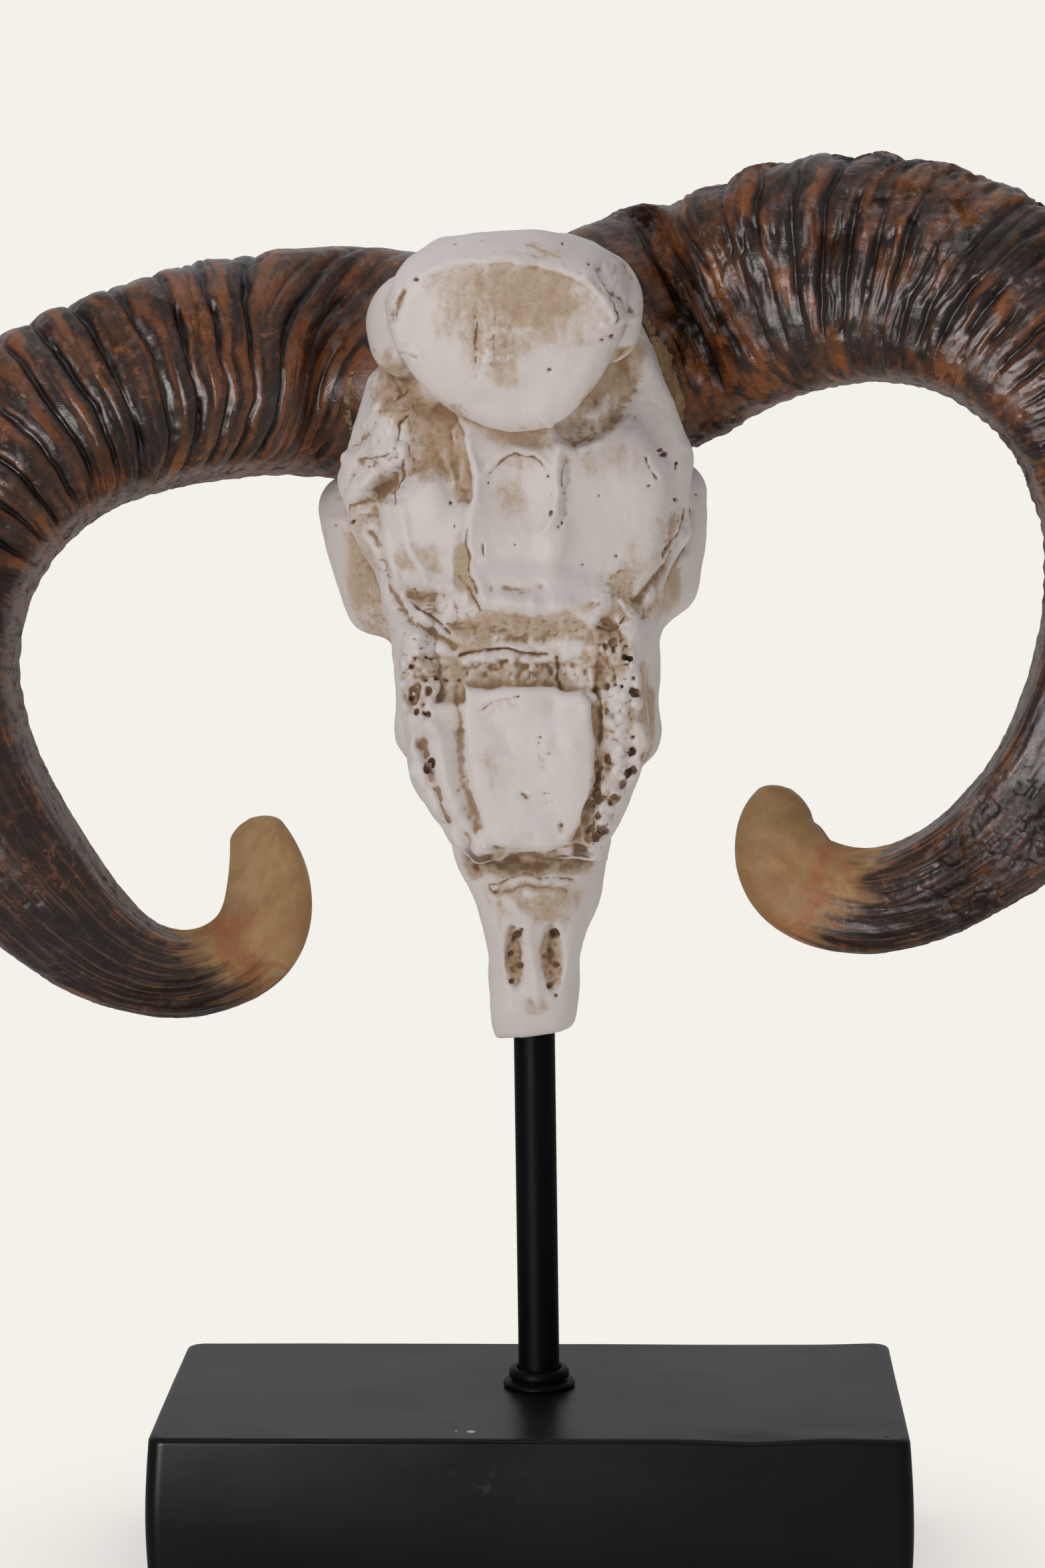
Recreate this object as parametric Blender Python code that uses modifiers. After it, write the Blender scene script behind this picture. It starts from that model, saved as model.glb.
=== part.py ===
"""A cast ram skull with ridged horns on a black display stand.

The palate and the back of the skull are turned to -Y and the face to +Y.
World frame: metres, +Z up, origin at the middle of the base's underside.
Skull frame: origin where the rod enters the muzzle, x across the skull,
y from the palate to the face, z from the muzzle to the poll.
"""

import math

import bmesh
import bpy
import numpy as np
from mathutils import Matrix, Vector

MM = 0.001
GAP = 0.3 * MM

# Stand
BASE_WIDTH = 250 * MM
BASE_DEPTH = 121 * MM
BASE_HEIGHT = 60 * MM
BASE_BULGE = 1.5 * MM
BASE_EDGE = 1.8 * MM
BASE_CORNER = 5 * MM
ROD_DIAMETER = 14 * MM
ROD_SINK = 22 * MM
ROD_IN_MUZZLE = 26 * MM
ROD_SIDES = 24
FLANGE_RADIUS = 12.3 * MM
FLANGE_BEAD_RADIUS = 10.3 * MM
FLANGE_HEIGHT = 6.5 * MM
FLANGE_DISC_HEIGHT = 2.2 * MM
FLANGE_ROUND = 0.7 * MM
FLANGE_STEPS = 18

# Where the rod meets the base and the muzzle, and how the skull hangs on it
ROD_FOOT = Vector((2.0 * MM, 6 * MM, BASE_HEIGHT))
SKULL_ORIGIN = Vector((1.0 * MM, 6 * MM, 182.6 * MM))
SKULL_ROLL = math.radians(-1.7)

# Skull, in its own frame
SKULL_SIDES = 28
SKULL_VOXEL = 1.9 * MM
SKULL_SMOOTHING = {"factor": 0.5, "iterations": 5}
SKULL_TRIANGLES = 1400
SKULL_REACH = 200 * MM
MUZZLE_CUT = 61 * MM
JAW_CUT = 135.5 * MM

# The slanted cut between cranium and eye-socket rim: its ends as (out, z), and its spans
ORBIT_CUT_LOW = (46 * MM, 136 * MM)
ORBIT_CUT_HIGH = (57.5 * MM, 200 * MM)
ORBIT_CUT_SPANS = (140 * MM, 76 * MM)

# height, half width left, half width right, palate side y, face side y, squareness
SKULL_STATIONS = (
    (0.5, 12.0, 11.0, -11.5, 10.0, 3.2),
    (5.0, 14.2, 13.5, -13.5, 13.0, 3.4),
    (16.0, 14.6, 15.2, -14.5, 15.0, 3.2),
    (30.0, 15.5, 18.5, -15.5, 18.0, 3.0),
    (44.0, 18.0, 22.8, -17.0, 22.0, 2.8),
    (57.0, 22.8, 25.5, -19.0, 27.0, 2.6),
    (68.0, 26.2, 28.6, -21.0, 32.0, 2.5),
    (78.0, 29.8, 32.4, -22.0, 37.0, 2.4),
    (88.0, 35.5, 38.0, -22.0, 41.0, 2.4),
    (98.0, 41.5, 44.5, -22.0, 44.0, 2.4),
    (115.0, 43.0, 45.8, -22.0, 48.0, 2.3),
    (132.0, 44.5, 47.2, -22.0, 51.0, 2.3),
    (150.0, 48.0, 50.0, -22.0, 54.0, 2.3),
    (170.0, 50.0, 51.5, -22.0, 57.0, 2.3),
    (190.0, 52.0, 54.0, -22.0, 57.0, 2.3),
    (205.0, 53.5, 55.0, -23.0, 54.0, 2.3),
    (220.0, 47.5, 51.5, -25.0, 51.0, 2.2),
    (236.0, 43.0, 46.5, -27.0, 46.0, 2.2),
    (250.0, 40.0, 41.0, -28.0, 38.0, 2.2),
    (262.0, 33.0, 33.0, -27.0, 25.0, 2.2),
    (269.0, 22.0, 22.0, -24.0, 8.0, 2.0),
)

# Rounded masses that stand out of the main form: centre and radii in mm
LOCAL_MASSES = {
    "orbit_rim_left": ((-46.0, 24, 171), (22.5, 24, 25)),
    "orbit_rim_right": ((44.5, 24, 171), (21.0, 24, 25)),
    "cheekbone_left": ((-44.0, 14, 158), (18.0, 22, 22)),
    "cheekbone_right": ((44.0, 14, 158), (18.0, 22, 22)),
    "temple_left": ((-44.0, -6, 205), (12.0, 15, 21)),
    "temple_right": ((46.5, -6, 207), (11.5, 15, 21)),
    "nasal_bridge": ((1.0, 35, 112), (17.0, 19, 61)),
    "brow_left": ((-27.0, 40, 188), (25.0, 17, 17)),
    "brow_right": ((27.0, 40, 188), (25.0, 17, 17)),
    "jaw_knob_left": ((-35.0, 16, 103), (9.5, 13, 15)),
    "jaw_knob_right": ((37.0, 16, 103), (9.5, 13, 15)),
}

# Hollows: centre and radii in mm
HOLLOWS = {
    "eye_socket_left": ((-66.0, 36, 171), (20.0, 18, 18)),
    "eye_socket_right": ((64.0, 36, 171), (20.0, 18, 18)),
    "nasal_opening": ((0.5, 25, 36), (8.5, 11, 23)),
    "incisive_foramen_left": ((-5.2, -15.5, 29), (3.4, 4, 11.5)),
    "incisive_foramen_right": ((7.4, -15.5, 28.5), (3.6, 4, 12.5)),
}

# Palate between the tooth rows, as corners (x, z) in mm
PALATE_OUTLINE = (
    (-16, 63),
    (23, 62),
    (33, 82),
    (36, 100),
    (35, 146),
    (-34, 146),
    (-34, 100),
    (-24, 77),
)
PALATE_FRONT = -27 * MM
CRANIAL_BAR = ((-11.5, 148), (14.5, 148), (16, 193), (20, 214), (-19, 214), (-15, 186))
CRANIAL_BAR_FRONT = -30 * MM

# Tooth rows as a string of swellings: x, z, radius across in mm
TOOTH_ROW_LEFT = ((-34.0, 138, 7.2), (-32.5, 98, 6.6), (-22.5, 77, 5.2), (-14.0, 66, 4.8))
TOOTH_ROW_RIGHT = ((35.0, 136, 7.2), (35.2, 99, 6.8), (28.0, 81, 5.2), (20.8, 65, 4.8))
TOOTH_COUNT = 8
TOOTH_STRETCH = 1.25
TOOTH_DEPTH = 13 * MM
TOOTH_FRONT = -31.5 * MM
TOOTH_VOXEL = 1.3 * MM
TOOTH_SMOOTHING = {"factor": 0.5, "iterations": 2}
TOOTH_TRIANGLES = 210

# Plug in the palate, as corners (x, z) in mm
PALATE_PLUG_OUTLINE = (
    (-18.4, 122.5),
    (20.2, 120.5),
    (23.3, 116),
    (25.0, 101),
    (23.0, 86),
    (15.5, 68),
    (0.9, 66.5),
    (-12.5, 70),
    (-15.5, 85),
    (-18.3, 108),
)
PALATE_PLUG_FRONT = -34 * MM
PALATE_PLUG_THICKNESS = 9 * MM
PALATE_PLUG_EDGE = 1.6 * MM

# Plug that closes the back of the skull
OCCIPITAL_PLUG_CENTRE = Vector((1.0 * MM, -52 * MM, 232.3 * MM))
OCCIPITAL_PLUG_TILT = math.radians(14)
OCCIPITAL_PLUG_HALF = (36.8 * MM, 30 * MM)
OCCIPITAL_PLUG_LENGTH = 35 * MM
OCCIPITAL_PLUG_FLARE = 1.02
OCCIPITAL_PLUG_EDGE = 3.5 * MM
OCCIPITAL_PLUG_SIDES = 36

# Lumps beside the occipital plug: centre and radii in mm
MASTOID_LEFT = ((-35.5, -24, 240), (10.5, 13, 16))
MASTOID_RIGHT = ((33.5, -24, 247), (11.5, 13, 18))

# Horns: distance out, y and z of the middle line, thickness in the curl's plane, depth
HORN_LEFT = (
    (33, 30, 226, 76, 72),
    (51, 33, 228, 77, 66),
    (70, 25, 229, 73.5, 61),
    (108, 0, 225.5, 66.5, 56),
    (160, -22, 205, 61, 52),
    (187, -34, 165, 55, 47),
    (189, -35, 120, 48.5, 43),
    (163.5, -22, 59, 42, 38),
    (145.5, -12, 37, 35, 34),
    (117.5, 2, 22.5, 30.5, 30),
    (91, 14, 36.5, 34.5, 21),
    (94.5, 22, 64, 25, 14),
    (95.5, 24, 74.5, 13, 8),
)
HORN_RIGHT = (
    (29, 30, 231, 77, 72),
    (52, 33, 236, 83, 68),
    (70, 25, 245, 79.5, 63),
    (97, 8, 251, 75, 58),
    (137, -9, 250.5, 71.5, 55),
    (185, -28, 217, 63.5, 51),
    (200.5, -36, 165, 56, 47),
    (181, -32, 93, 46.5, 41),
    (144, -16, 53, 36.5, 35),
    (109, 1, 41.5, 35, 29),
    (84.5, 14, 59, 33, 20),
    (87, 20, 73, 21.5, 12),
    (88, 21.5, 81.5, 10, 7),
)
HORN_LENGTHS = (
    ("root", 0.00, 0.16),
    ("crown", 0.16, 0.36),
    ("outer", 0.36, 0.60),
    ("lower", 0.60, 0.83),
    ("tip", 0.83, 1.00),
)
HORN_SIDES = 12
HORN_TRACK_ROWS = 1600
HORN_RIDGE_SPACING = 12.5 * MM
HORN_RIDGE_DEPTH = 0.9 * MM
HORN_RIDGES_START = 0.15
HORN_RIDGES_END = 0.62
HORN_RIDGES_FADE = 0.15
HORN_SQUARENESS = 2.35
HORN_KEEL_ANGLE = math.radians(-142)
HORN_KEEL_HEIGHT = 0.07
HORN_KEEL_SPREAD = math.radians(24)
HORN_BASE_NORMAL = Vector((0.84, 0.48, 0.25)).normalized()
HORN_BASE_TURN = 0.16
COLLAR_DEPTH = 10 * MM
COLLAR_RIM = 2.2 * MM
COLLAR_TAPER = 0.12

TRACK_SAMPLES = 800
CRUMB_SHARE = 0.01
SMOOTH_ANGLE = math.radians(35)
COLLECTION_NAME = "ram_skull"


def clear_scene():
    for thing in list(bpy.data.objects):
        bpy.data.objects.remove(thing, do_unlink=True)


def make_material(name, colour, roughness, metallic=0.0):
    material = bpy.data.materials.new(name)
    material.use_nodes = True
    shader = material.node_tree.nodes["Principled BSDF"]
    shader.inputs["Base Color"].default_value = (*colour, 1.0)
    shader.inputs["Roughness"].default_value = roughness
    shader.inputs["Metallic"].default_value = metallic
    material.diffuse_color = (*colour, 1.0)
    return material


# Meshes


def mesh_of(bm, name):
    """A mesh from a bmesh, with its faces turned outwards."""
    bmesh.ops.recalc_face_normals(bm, faces=bm.faces)
    mesh = bpy.data.meshes.new(name)
    bm.to_mesh(mesh)
    bm.free()
    return mesh


def evaluated(mesh, *modifiers):
    """A new mesh, as (type, settings) modifiers leave the given one."""
    thing = bpy.data.objects.new("work", mesh)
    bpy.context.scene.collection.objects.link(thing)
    for kind, settings in modifiers:
        modifier = thing.modifiers.new(kind, kind)
        for key, value in settings.items():
            setattr(modifier, key, value)
    graph = bpy.context.evaluated_depsgraph_get()
    result = bpy.data.meshes.new_from_object(thing.evaluated_get(graph))
    bpy.data.objects.remove(thing, do_unlink=True)
    return result


def combined(mesh, other, operation):
    """The exact Boolean of two meshes."""
    cutter = bpy.data.objects.new("cutter", other)
    cutter.hide_render = True
    cutter.display_type = "WIRE"
    bpy.context.scene.collection.objects.link(cutter)
    settings = {"operation": operation, "object": cutter, "solver": "EXACT"}
    result = evaluated(mesh, ("BOOLEAN", settings))
    bpy.data.objects.remove(cutter, do_unlink=True)
    return result


def thinned(mesh, triangles):
    """The mesh with about this many triangles left."""
    mesh.calc_loop_triangles()
    ratio = triangles / len(mesh.loop_triangles)
    return evaluated(mesh, ("DECIMATE", {"ratio": ratio, "use_collapse_triangulate": True}))


def grown(mesh, distance):
    """A copy whose faces lie further out, for the gap round a piece that is let in."""
    bm = bmesh.new()
    bm.from_mesh(mesh)
    bm.normal_update()
    moves = [v.normal * v.calc_shell_factor() * distance for v in bm.verts]
    for vertex, move in zip(bm.verts, moves):
        vertex.co += move
    return mesh_of(bm, mesh.name + "_grown")


def islands(mesh):
    """The separate bodies of a mesh, the largest first, without crumbs."""
    bm = bmesh.new()
    bm.from_mesh(mesh)
    bm.verts.index_update()
    owner = {}
    groups = []
    for start in bm.verts:
        if start in owner:
            continue
        owner[start] = len(groups)
        group = [start]
        for vertex in group:
            for edge in vertex.link_edges:
                other = edge.other_vert(vertex)
                if other not in owner:
                    owner[other] = len(groups)
                    group.append(other)
        groups.append(group)
    bodies = []
    for index in range(len(groups)):
        body = bm.copy()
        body.verts.ensure_lookup_table()
        drop = [body.verts[v.index] for v in bm.verts if owner[v] != index]
        bmesh.ops.delete(body, geom=drop, context="VERTS")
        bodies.append((body.calc_volume(), mesh_of(body, mesh.name)))
    bm.free()
    bodies.sort(key=lambda pair: -pair[0])
    crumb = CRUMB_SHARE * bodies[0][0]
    return [body for volume, body in bodies if volume > crumb]


def middle(mesh):
    """The middle of a mesh's box."""
    points = np.array([v.co for v in mesh.vertices])
    return (points.min(axis=0) + points.max(axis=0)) / 2


def loft(rings, name):
    """A closed solid through rings that have the same number of points."""
    bm = bmesh.new()
    loops = [[bm.verts.new(point) for point in ring] for ring in rings]
    sides = len(loops[0])
    for lower, upper in zip(loops, loops[1:]):
        for i in range(sides):
            j = (i + 1) % sides
            bm.faces.new((lower[i], lower[j], upper[j], upper[i]))
    bm.faces.new(loops[0][::-1])
    bm.faces.new(loops[-1])
    return mesh_of(bm, name)


def ellipsoid_into(bm, centre, radii, segments=20, rings=14):
    place = Matrix.Translation(Vector(centre) * MM) @ Matrix.Diagonal((*(r * MM for r in radii), 1))
    bmesh.ops.create_uvsphere(bm, u_segments=segments, v_segments=rings, radius=1, matrix=place)


def ellipsoid(centre, radii, name, segments=16, rings=10):
    bm = bmesh.new()
    ellipsoid_into(bm, centre, radii, segments, rings)
    return mesh_of(bm, name)


def prism_into(bm, outline, front, back):
    """A slab between two depths whose outline is a polygon of (x, z) corners in mm."""
    near = [bm.verts.new((x * MM, front, z * MM)) for x, z in outline]
    face = bm.faces.new(near)
    pushed = bmesh.ops.extrude_face_region(bm, geom=[face])["geom"]
    far = [item for item in pushed if isinstance(item, bmesh.types.BMVert)]
    bmesh.ops.translate(bm, verts=far, vec=(0, back - front, 0))


def box(low, high, name):
    """A plain box between two corners."""
    bm = bmesh.new()
    size = Vector(high) - Vector(low)
    place = Matrix.Translation((Vector(low) + Vector(high)) / 2) @ Matrix.Diagonal((*size, 1))
    bmesh.ops.create_cube(bm, size=1, matrix=place)
    return mesh_of(bm, name)


def polygon_solid(outline, front, thickness, edge, name):
    """A prism with its front edge rounded."""
    bm = bmesh.new()
    prism_into(bm, outline, front, front + thickness)
    bm.faces.ensure_lookup_table()
    rim = [e for e in bm.edges if all(abs(v.co.y - front) < GAP for v in e.verts)]
    bmesh.ops.bevel(bm, geom=rim, offset=edge, segments=2, affect="EDGES", profile=0.5)
    return mesh_of(bm, name)


# Smooth tracks


def smooth_track(keys, count):
    """Evenly spaced rows of a natural cubic spline through the rows of keys.

    The first three columns are a place, and the spline runs by the chords between them.
    """
    keys = np.array(keys, float)
    steps = np.linalg.norm(np.diff(keys[:, :3], axis=0), axis=1)
    knots = np.concatenate([[0.0], np.cumsum(steps)])
    size = len(keys)
    system = np.eye(size)
    wanted = np.zeros_like(keys)
    for i in range(1, size - 1):
        before, after = steps[i - 1], steps[i]
        system[i, i - 1 : i + 2] = before, 2 * (before + after), after
        slope = (keys[i + 1] - keys[i]) / after - (keys[i] - keys[i - 1]) / before
        wanted[i] = 6 * slope
    bend = np.linalg.solve(system, wanted)

    def rows_at(where):
        i = np.clip(np.searchsorted(knots, where) - 1, 0, size - 2)
        width = steps[i][:, None]
        ahead = (where - knots[i])[:, None] / width
        behind = 1 - ahead
        bow = (behind**3 - behind) * bend[i] + (ahead**3 - ahead) * bend[i + 1]
        return behind * keys[i] + ahead * keys[i + 1] + bow * width**2 / 6

    fine = np.linspace(0, knots[-1], TRACK_SAMPLES)
    rows = rows_at(fine)
    run = np.linalg.norm(np.diff(rows[:, :3], axis=0), axis=1)
    travelled = np.concatenate([[0.0], np.cumsum(run)])
    even = np.linspace(0, travelled[-1], count)
    return rows_at(np.interp(even, travelled, fine)), travelled[-1]


# Horns


def horn_section(angle):
    """The relative radius of the horn's section: a rounded square with a keel on one corner."""
    power = HORN_SQUARENESS
    square = (abs(math.cos(angle)) ** power + abs(math.sin(angle)) ** power) ** (-1 / power)
    off = (angle - HORN_KEEL_ANGLE + math.pi) % math.tau - math.pi
    return square * (1 + HORN_KEEL_HEIGHT * math.exp(-((off / HORN_KEEL_SPREAD) ** 2)))


def horn_rings(keys, side, start, end, extra=0.0):
    """Rings along part of a horn, whose start and end are shares of its length.

    side is -1 for the left horn and 1 for the right one.
    """
    rows, length = smooth_track(keys, HORN_TRACK_ROWS)
    length *= MM
    centres = rows[:, :3] * MM * np.array([side, 1, 1])
    tangents = np.gradient(centres, axis=0)
    ridged = (start + end) / 2 < HORN_RIDGES_END
    step = HORN_RIDGE_SPACING / 2 if ridged else HORN_RIDGE_SPACING * 0.75
    count = max(3, round((end - start) * length / step) + 1)
    rings = []
    for share in np.linspace(start, end, count):
        at = min(len(rows) - 1, round(share * (len(rows) - 1)))
        centre = Vector(centres[at])
        along = Vector(tangents[at]).normalized()
        if share < HORN_BASE_TURN:
            base_way = HORN_BASE_NORMAL * Vector((side, 1, 1))
            along = base_way.lerp(along, share / HORN_BASE_TURN).normalized()
        depth_way = Vector((0, 1, 0)) - along * along.y
        depth_way.normalize()
        out_way = along.cross(depth_way) * -side
        fade_out = max(0.0, (HORN_RIDGES_END - share) / HORN_RIDGES_FADE)
        fade = min(1.0, fade_out, share / HORN_RIDGES_START)
        ridge = HORN_RIDGE_DEPTH * fade * math.cos(math.tau * share * length / HORN_RIDGE_SPACING)
        half_width = rows[at, 3] * MM / 2 + ridge + extra
        half_depth = rows[at, 4] * MM / 2 + ridge + extra
        ring = []
        for i in range(HORN_SIDES):
            angle = math.tau * i / HORN_SIDES
            reach = horn_section(angle)
            across = out_way * (half_width * math.cos(angle) * reach)
            back = depth_way * (half_depth * math.sin(angle) * reach)
            ring.append(centre + across + back)
        rings.append(ring)
    return rings


def horn_lengths(keys, side, side_name):
    """The lengths of one horn, as (name, mesh), with a thin gap between them."""
    length = smooth_track(keys, HORN_TRACK_ROWS)[1] * MM
    half_gap = GAP / length / 2
    pieces = []
    for part_name, start, end in HORN_LENGTHS:
        first = start + (half_gap if start > 0 else 0.0)
        last = end - (half_gap if end < 1 else 0.0)
        name = f"horn_{part_name}_{side_name}"
        pieces.append((name, loft(horn_rings(keys, side, first, last), name)))
    return pieces


def collar(keys, side, name):
    """The bony core's rim, on which the horn's first ring sits."""
    ring = horn_rings(keys, side, 0.0, HORN_RIDGES_START, extra=COLLAR_RIM)[0]
    centre = sum(ring, Vector()) / len(ring)
    back = HORN_BASE_NORMAL * Vector((side, 1, 1))
    rings = []
    for share in (1.0, 0.5, 0.0):
        shift = back * -(GAP + COLLAR_DEPTH * share)
        shrink = 1 - COLLAR_TAPER * share
        rings.append([centre + (point - centre) * shrink + shift for point in ring])
    return loft(rings, name)


# Skull


def station_ring(station):
    height, left, right, palate, face, power = station
    centre = (palate + face) / 2
    half_depth = (face - palate) / 2
    ring = []
    for i in range(SKULL_SIDES):
        angle = math.tau * i / SKULL_SIDES
        cosine, sine = math.cos(angle), math.sin(angle)
        reach = (abs(cosine) ** power + abs(sine) ** power) ** (-1 / power)
        half_width = right if cosine > 0 else left
        point = (half_width * cosine * reach, centre + half_depth * sine * reach, height)
        ring.append(Vector(point) * MM)
    return ring


def skull_mass():
    """The skull in one piece: its main form with the masses that stand out of it."""
    main = loft([station_ring(s) for s in SKULL_STATIONS], "skull")
    bm = bmesh.new()
    bm.from_mesh(main)
    for centre, radii in LOCAL_MASSES.values():
        ellipsoid_into(bm, centre, radii)
    prism_into(bm, PALATE_OUTLINE, PALATE_FRONT, 0.0)
    prism_into(bm, CRANIAL_BAR, CRANIAL_BAR_FRONT, 0.0)
    rough = mesh_of(bm, "skull")
    joined = evaluated(
        rough,
        ("REMESH", {"mode": "VOXEL", "voxel_size": SKULL_VOXEL}),
        ("SMOOTH", SKULL_SMOOTHING),
    )
    return thinned(joined, SKULL_TRIANGLES)


def tooth_row(stations, name):
    """One tooth row: swellings strung along the jaw's edge, joined to the bone they grow from."""
    places = np.array(stations, float)
    runs = np.linalg.norm(np.diff(places[:, :2], axis=0), axis=1)
    travelled = np.concatenate([[0.0], np.cumsum(runs)])
    bm = bmesh.new()
    depth = TOOTH_DEPTH / MM
    for share in np.linspace(0, 1, TOOTH_COUNT):
        at = share * travelled[-1]
        x, z, radius = (np.interp(at, travelled, places[:, k]) for k in range(3))
        radii = (radius, depth, radius * TOOTH_STRETCH)
        ellipsoid_into(bm, (x, TOOTH_FRONT / MM + depth, z), radii)
    row = evaluated(
        mesh_of(bm, name),
        ("REMESH", {"mode": "VOXEL", "voxel_size": TOOTH_VOXEL}),
        ("SMOOTH", TOOTH_SMOOTHING),
    )
    return thinned(row, TOOTH_TRIANGLES)


def occipital_plug():
    """The oval plug that closes the back of the skull, its face a little down from level."""
    bm = bmesh.new()
    half_x, half_z = OCCIPITAL_PLUG_HALF
    place = (
        Matrix.Translation(OCCIPITAL_PLUG_CENTRE)
        @ Matrix.Rotation(math.pi / 2 + OCCIPITAL_PLUG_TILT, 4, "X")
        @ Matrix.Diagonal((half_x, half_z, OCCIPITAL_PLUG_LENGTH, 1))
        @ Matrix.Translation((0, 0, -0.5))
    )
    bmesh.ops.create_cone(
        bm,
        cap_ends=True,
        segments=OCCIPITAL_PLUG_SIDES,
        radius1=OCCIPITAL_PLUG_FLARE,
        radius2=1.0,
        depth=1,
        matrix=place,
    )
    caps = [face for face in bm.faces if len(face.verts) > 4]
    front = min(caps, key=lambda face: face.calc_center_median().y)
    bmesh.ops.bevel(
        bm,
        geom=list(front.edges),
        offset=OCCIPITAL_PLUG_EDGE,
        segments=2,
        affect="EDGES",
        profile=0.5,
    )
    return mesh_of(bm, "occipital_plug")


def orbit_slabs():
    """A thin slanted cut on each side, which parts the eye-socket rims from the cranium."""
    slabs = []
    for side in (-1, 1):
        low = Vector((ORBIT_CUT_LOW[0] * side, 0, ORBIT_CUT_LOW[1]))
        high = Vector((ORBIT_CUT_HIGH[0] * side, 0, ORBIT_CUT_HIGH[1]))
        along = (high - low).normalized()
        place = Matrix.Translation((low + high) / 2)
        turn = Matrix.Rotation(math.atan2(along.x, along.z), 4, "Y")
        size = Matrix.Diagonal((GAP, *ORBIT_CUT_SPANS, 1))
        bm = bmesh.new()
        bmesh.ops.create_cube(bm, size=1, matrix=place @ turn @ size)
        slabs.append(mesh_of(bm, "orbit_slab"))
    return slabs


def level_slab(height):
    """A thin level cut right through the skull."""
    low = (-SKULL_REACH, -SKULL_REACH, height - GAP / 2)
    high = (SKULL_REACH, SKULL_REACH, height + GAP / 2)
    return box(low, high, "level_slab")


def rod_in_skull_frame():
    """The end of the rod that the muzzle takes, in the skull's frame."""
    to_skull = skull_place().inverted()
    foot = to_skull @ ROD_FOOT
    top = rod_top_in_skull_frame()
    return rod_mesh(foot, top)


def rod_top_in_skull_frame():
    """The rod runs on in its own line, past the skull's origin."""
    foot = skull_place().inverted() @ ROD_FOOT
    return -foot.normalized() * ROD_IN_MUZZLE


def rod_mesh(start, end):
    """A round bar between two points."""
    bm = bmesh.new()
    along = end - start
    turn = along.to_track_quat("Z", "Y").to_matrix().to_4x4()
    bmesh.ops.create_cone(
        bm,
        cap_ends=True,
        segments=ROD_SIDES,
        radius1=ROD_DIAMETER / 2,
        radius2=ROD_DIAMETER / 2,
        depth=along.length,
        matrix=Matrix.Translation((start + end) / 2) @ turn,
    )
    return mesh_of(bm, "mount_rod")


def skull_place():
    """The skull frame's place in the world."""
    return Matrix.Translation(SKULL_ORIGIN) @ Matrix.Rotation(SKULL_ROLL, 4, "Y")


def skull_pieces():
    """Every piece of the skull and both horns, as {name: mesh} in the skull's frame."""
    pieces = {}
    horns = horn_lengths(HORN_LEFT, -1, "left") + horn_lengths(HORN_RIGHT, 1, "right")
    roots = [mesh for name, mesh in horns if "_root_" in name]
    collars = {
        "horn_core_left": collar(HORN_LEFT, -1, "horn_core_left"),
        "horn_core_right": collar(HORN_RIGHT, 1, "horn_core_right"),
    }
    plug = occipital_plug()
    body = skull_mass()
    for centre, radii in HOLLOWS.values():
        body = combined(body, ellipsoid(centre, radii, "hollow"), "DIFFERENCE")
    body = combined(body, grown(plug, GAP), "DIFFERENCE")
    for root in roots:
        body = combined(body, grown(root, GAP), "DIFFERENCE")
    for name, mesh in collars.items():
        body = combined(body, grown(mesh, GAP), "DIFFERENCE")
    for name, (centre, radii) in (
        ("mastoid_left", MASTOID_LEFT),
        ("mastoid_right", MASTOID_RIGHT),
    ):
        lump = combined(ellipsoid(centre, radii, name, 14, 9), grown(plug, GAP), "DIFFERENCE")
        for neighbour in [*roots, *collars.values()]:
            lump = combined(lump, grown(neighbour, GAP), "DIFFERENCE")
        lump = islands(lump)[0]
        body = combined(body, grown(lump, GAP), "DIFFERENCE")
        pieces[name] = lump
    for name, stations in (
        ("tooth_row_left", TOOTH_ROW_LEFT),
        ("tooth_row_right", TOOTH_ROW_RIGHT),
    ):
        row = tooth_row(stations, name)
        body = combined(body, grown(row, GAP), "DIFFERENCE")
        pieces[name] = row
    palate_plug = polygon_solid(
        PALATE_PLUG_OUTLINE,
        PALATE_PLUG_FRONT,
        PALATE_PLUG_THICKNESS,
        PALATE_PLUG_EDGE,
        "palate_plug",
    )
    for name in ("tooth_row_left", "tooth_row_right"):
        pieces[name] = combined(pieces[name], grown(palate_plug, GAP), "DIFFERENCE")
        pieces[name] = islands(pieces[name])[0]
    body = combined(body, grown(palate_plug, GAP), "DIFFERENCE")
    body = combined(body, grown(rod_in_skull_frame(), GAP), "DIFFERENCE")
    for height in (MUZZLE_CUT, JAW_CUT):
        body = combined(body, level_slab(height), "DIFFERENCE")
    muzzle, jaw, cranium = sorted(islands(body)[:3], key=lambda mesh: middle(mesh)[2])
    for slab in orbit_slabs():
        cranium = combined(cranium, slab, "DIFFERENCE")
    cranium, *rims = islands(cranium)[:3]
    orbit_left, orbit_right = sorted(rims, key=lambda mesh: middle(mesh)[0])
    pieces.update(
        muzzle=muzzle,
        upper_jaw=jaw,
        cranium=cranium,
        orbit_left=orbit_left,
        orbit_right=orbit_right,
        occipital_plug=plug,
        palate_plug=palate_plug,
    )
    pieces.update(collars)
    pieces.update(horns)
    return pieces


# Stand


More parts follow.
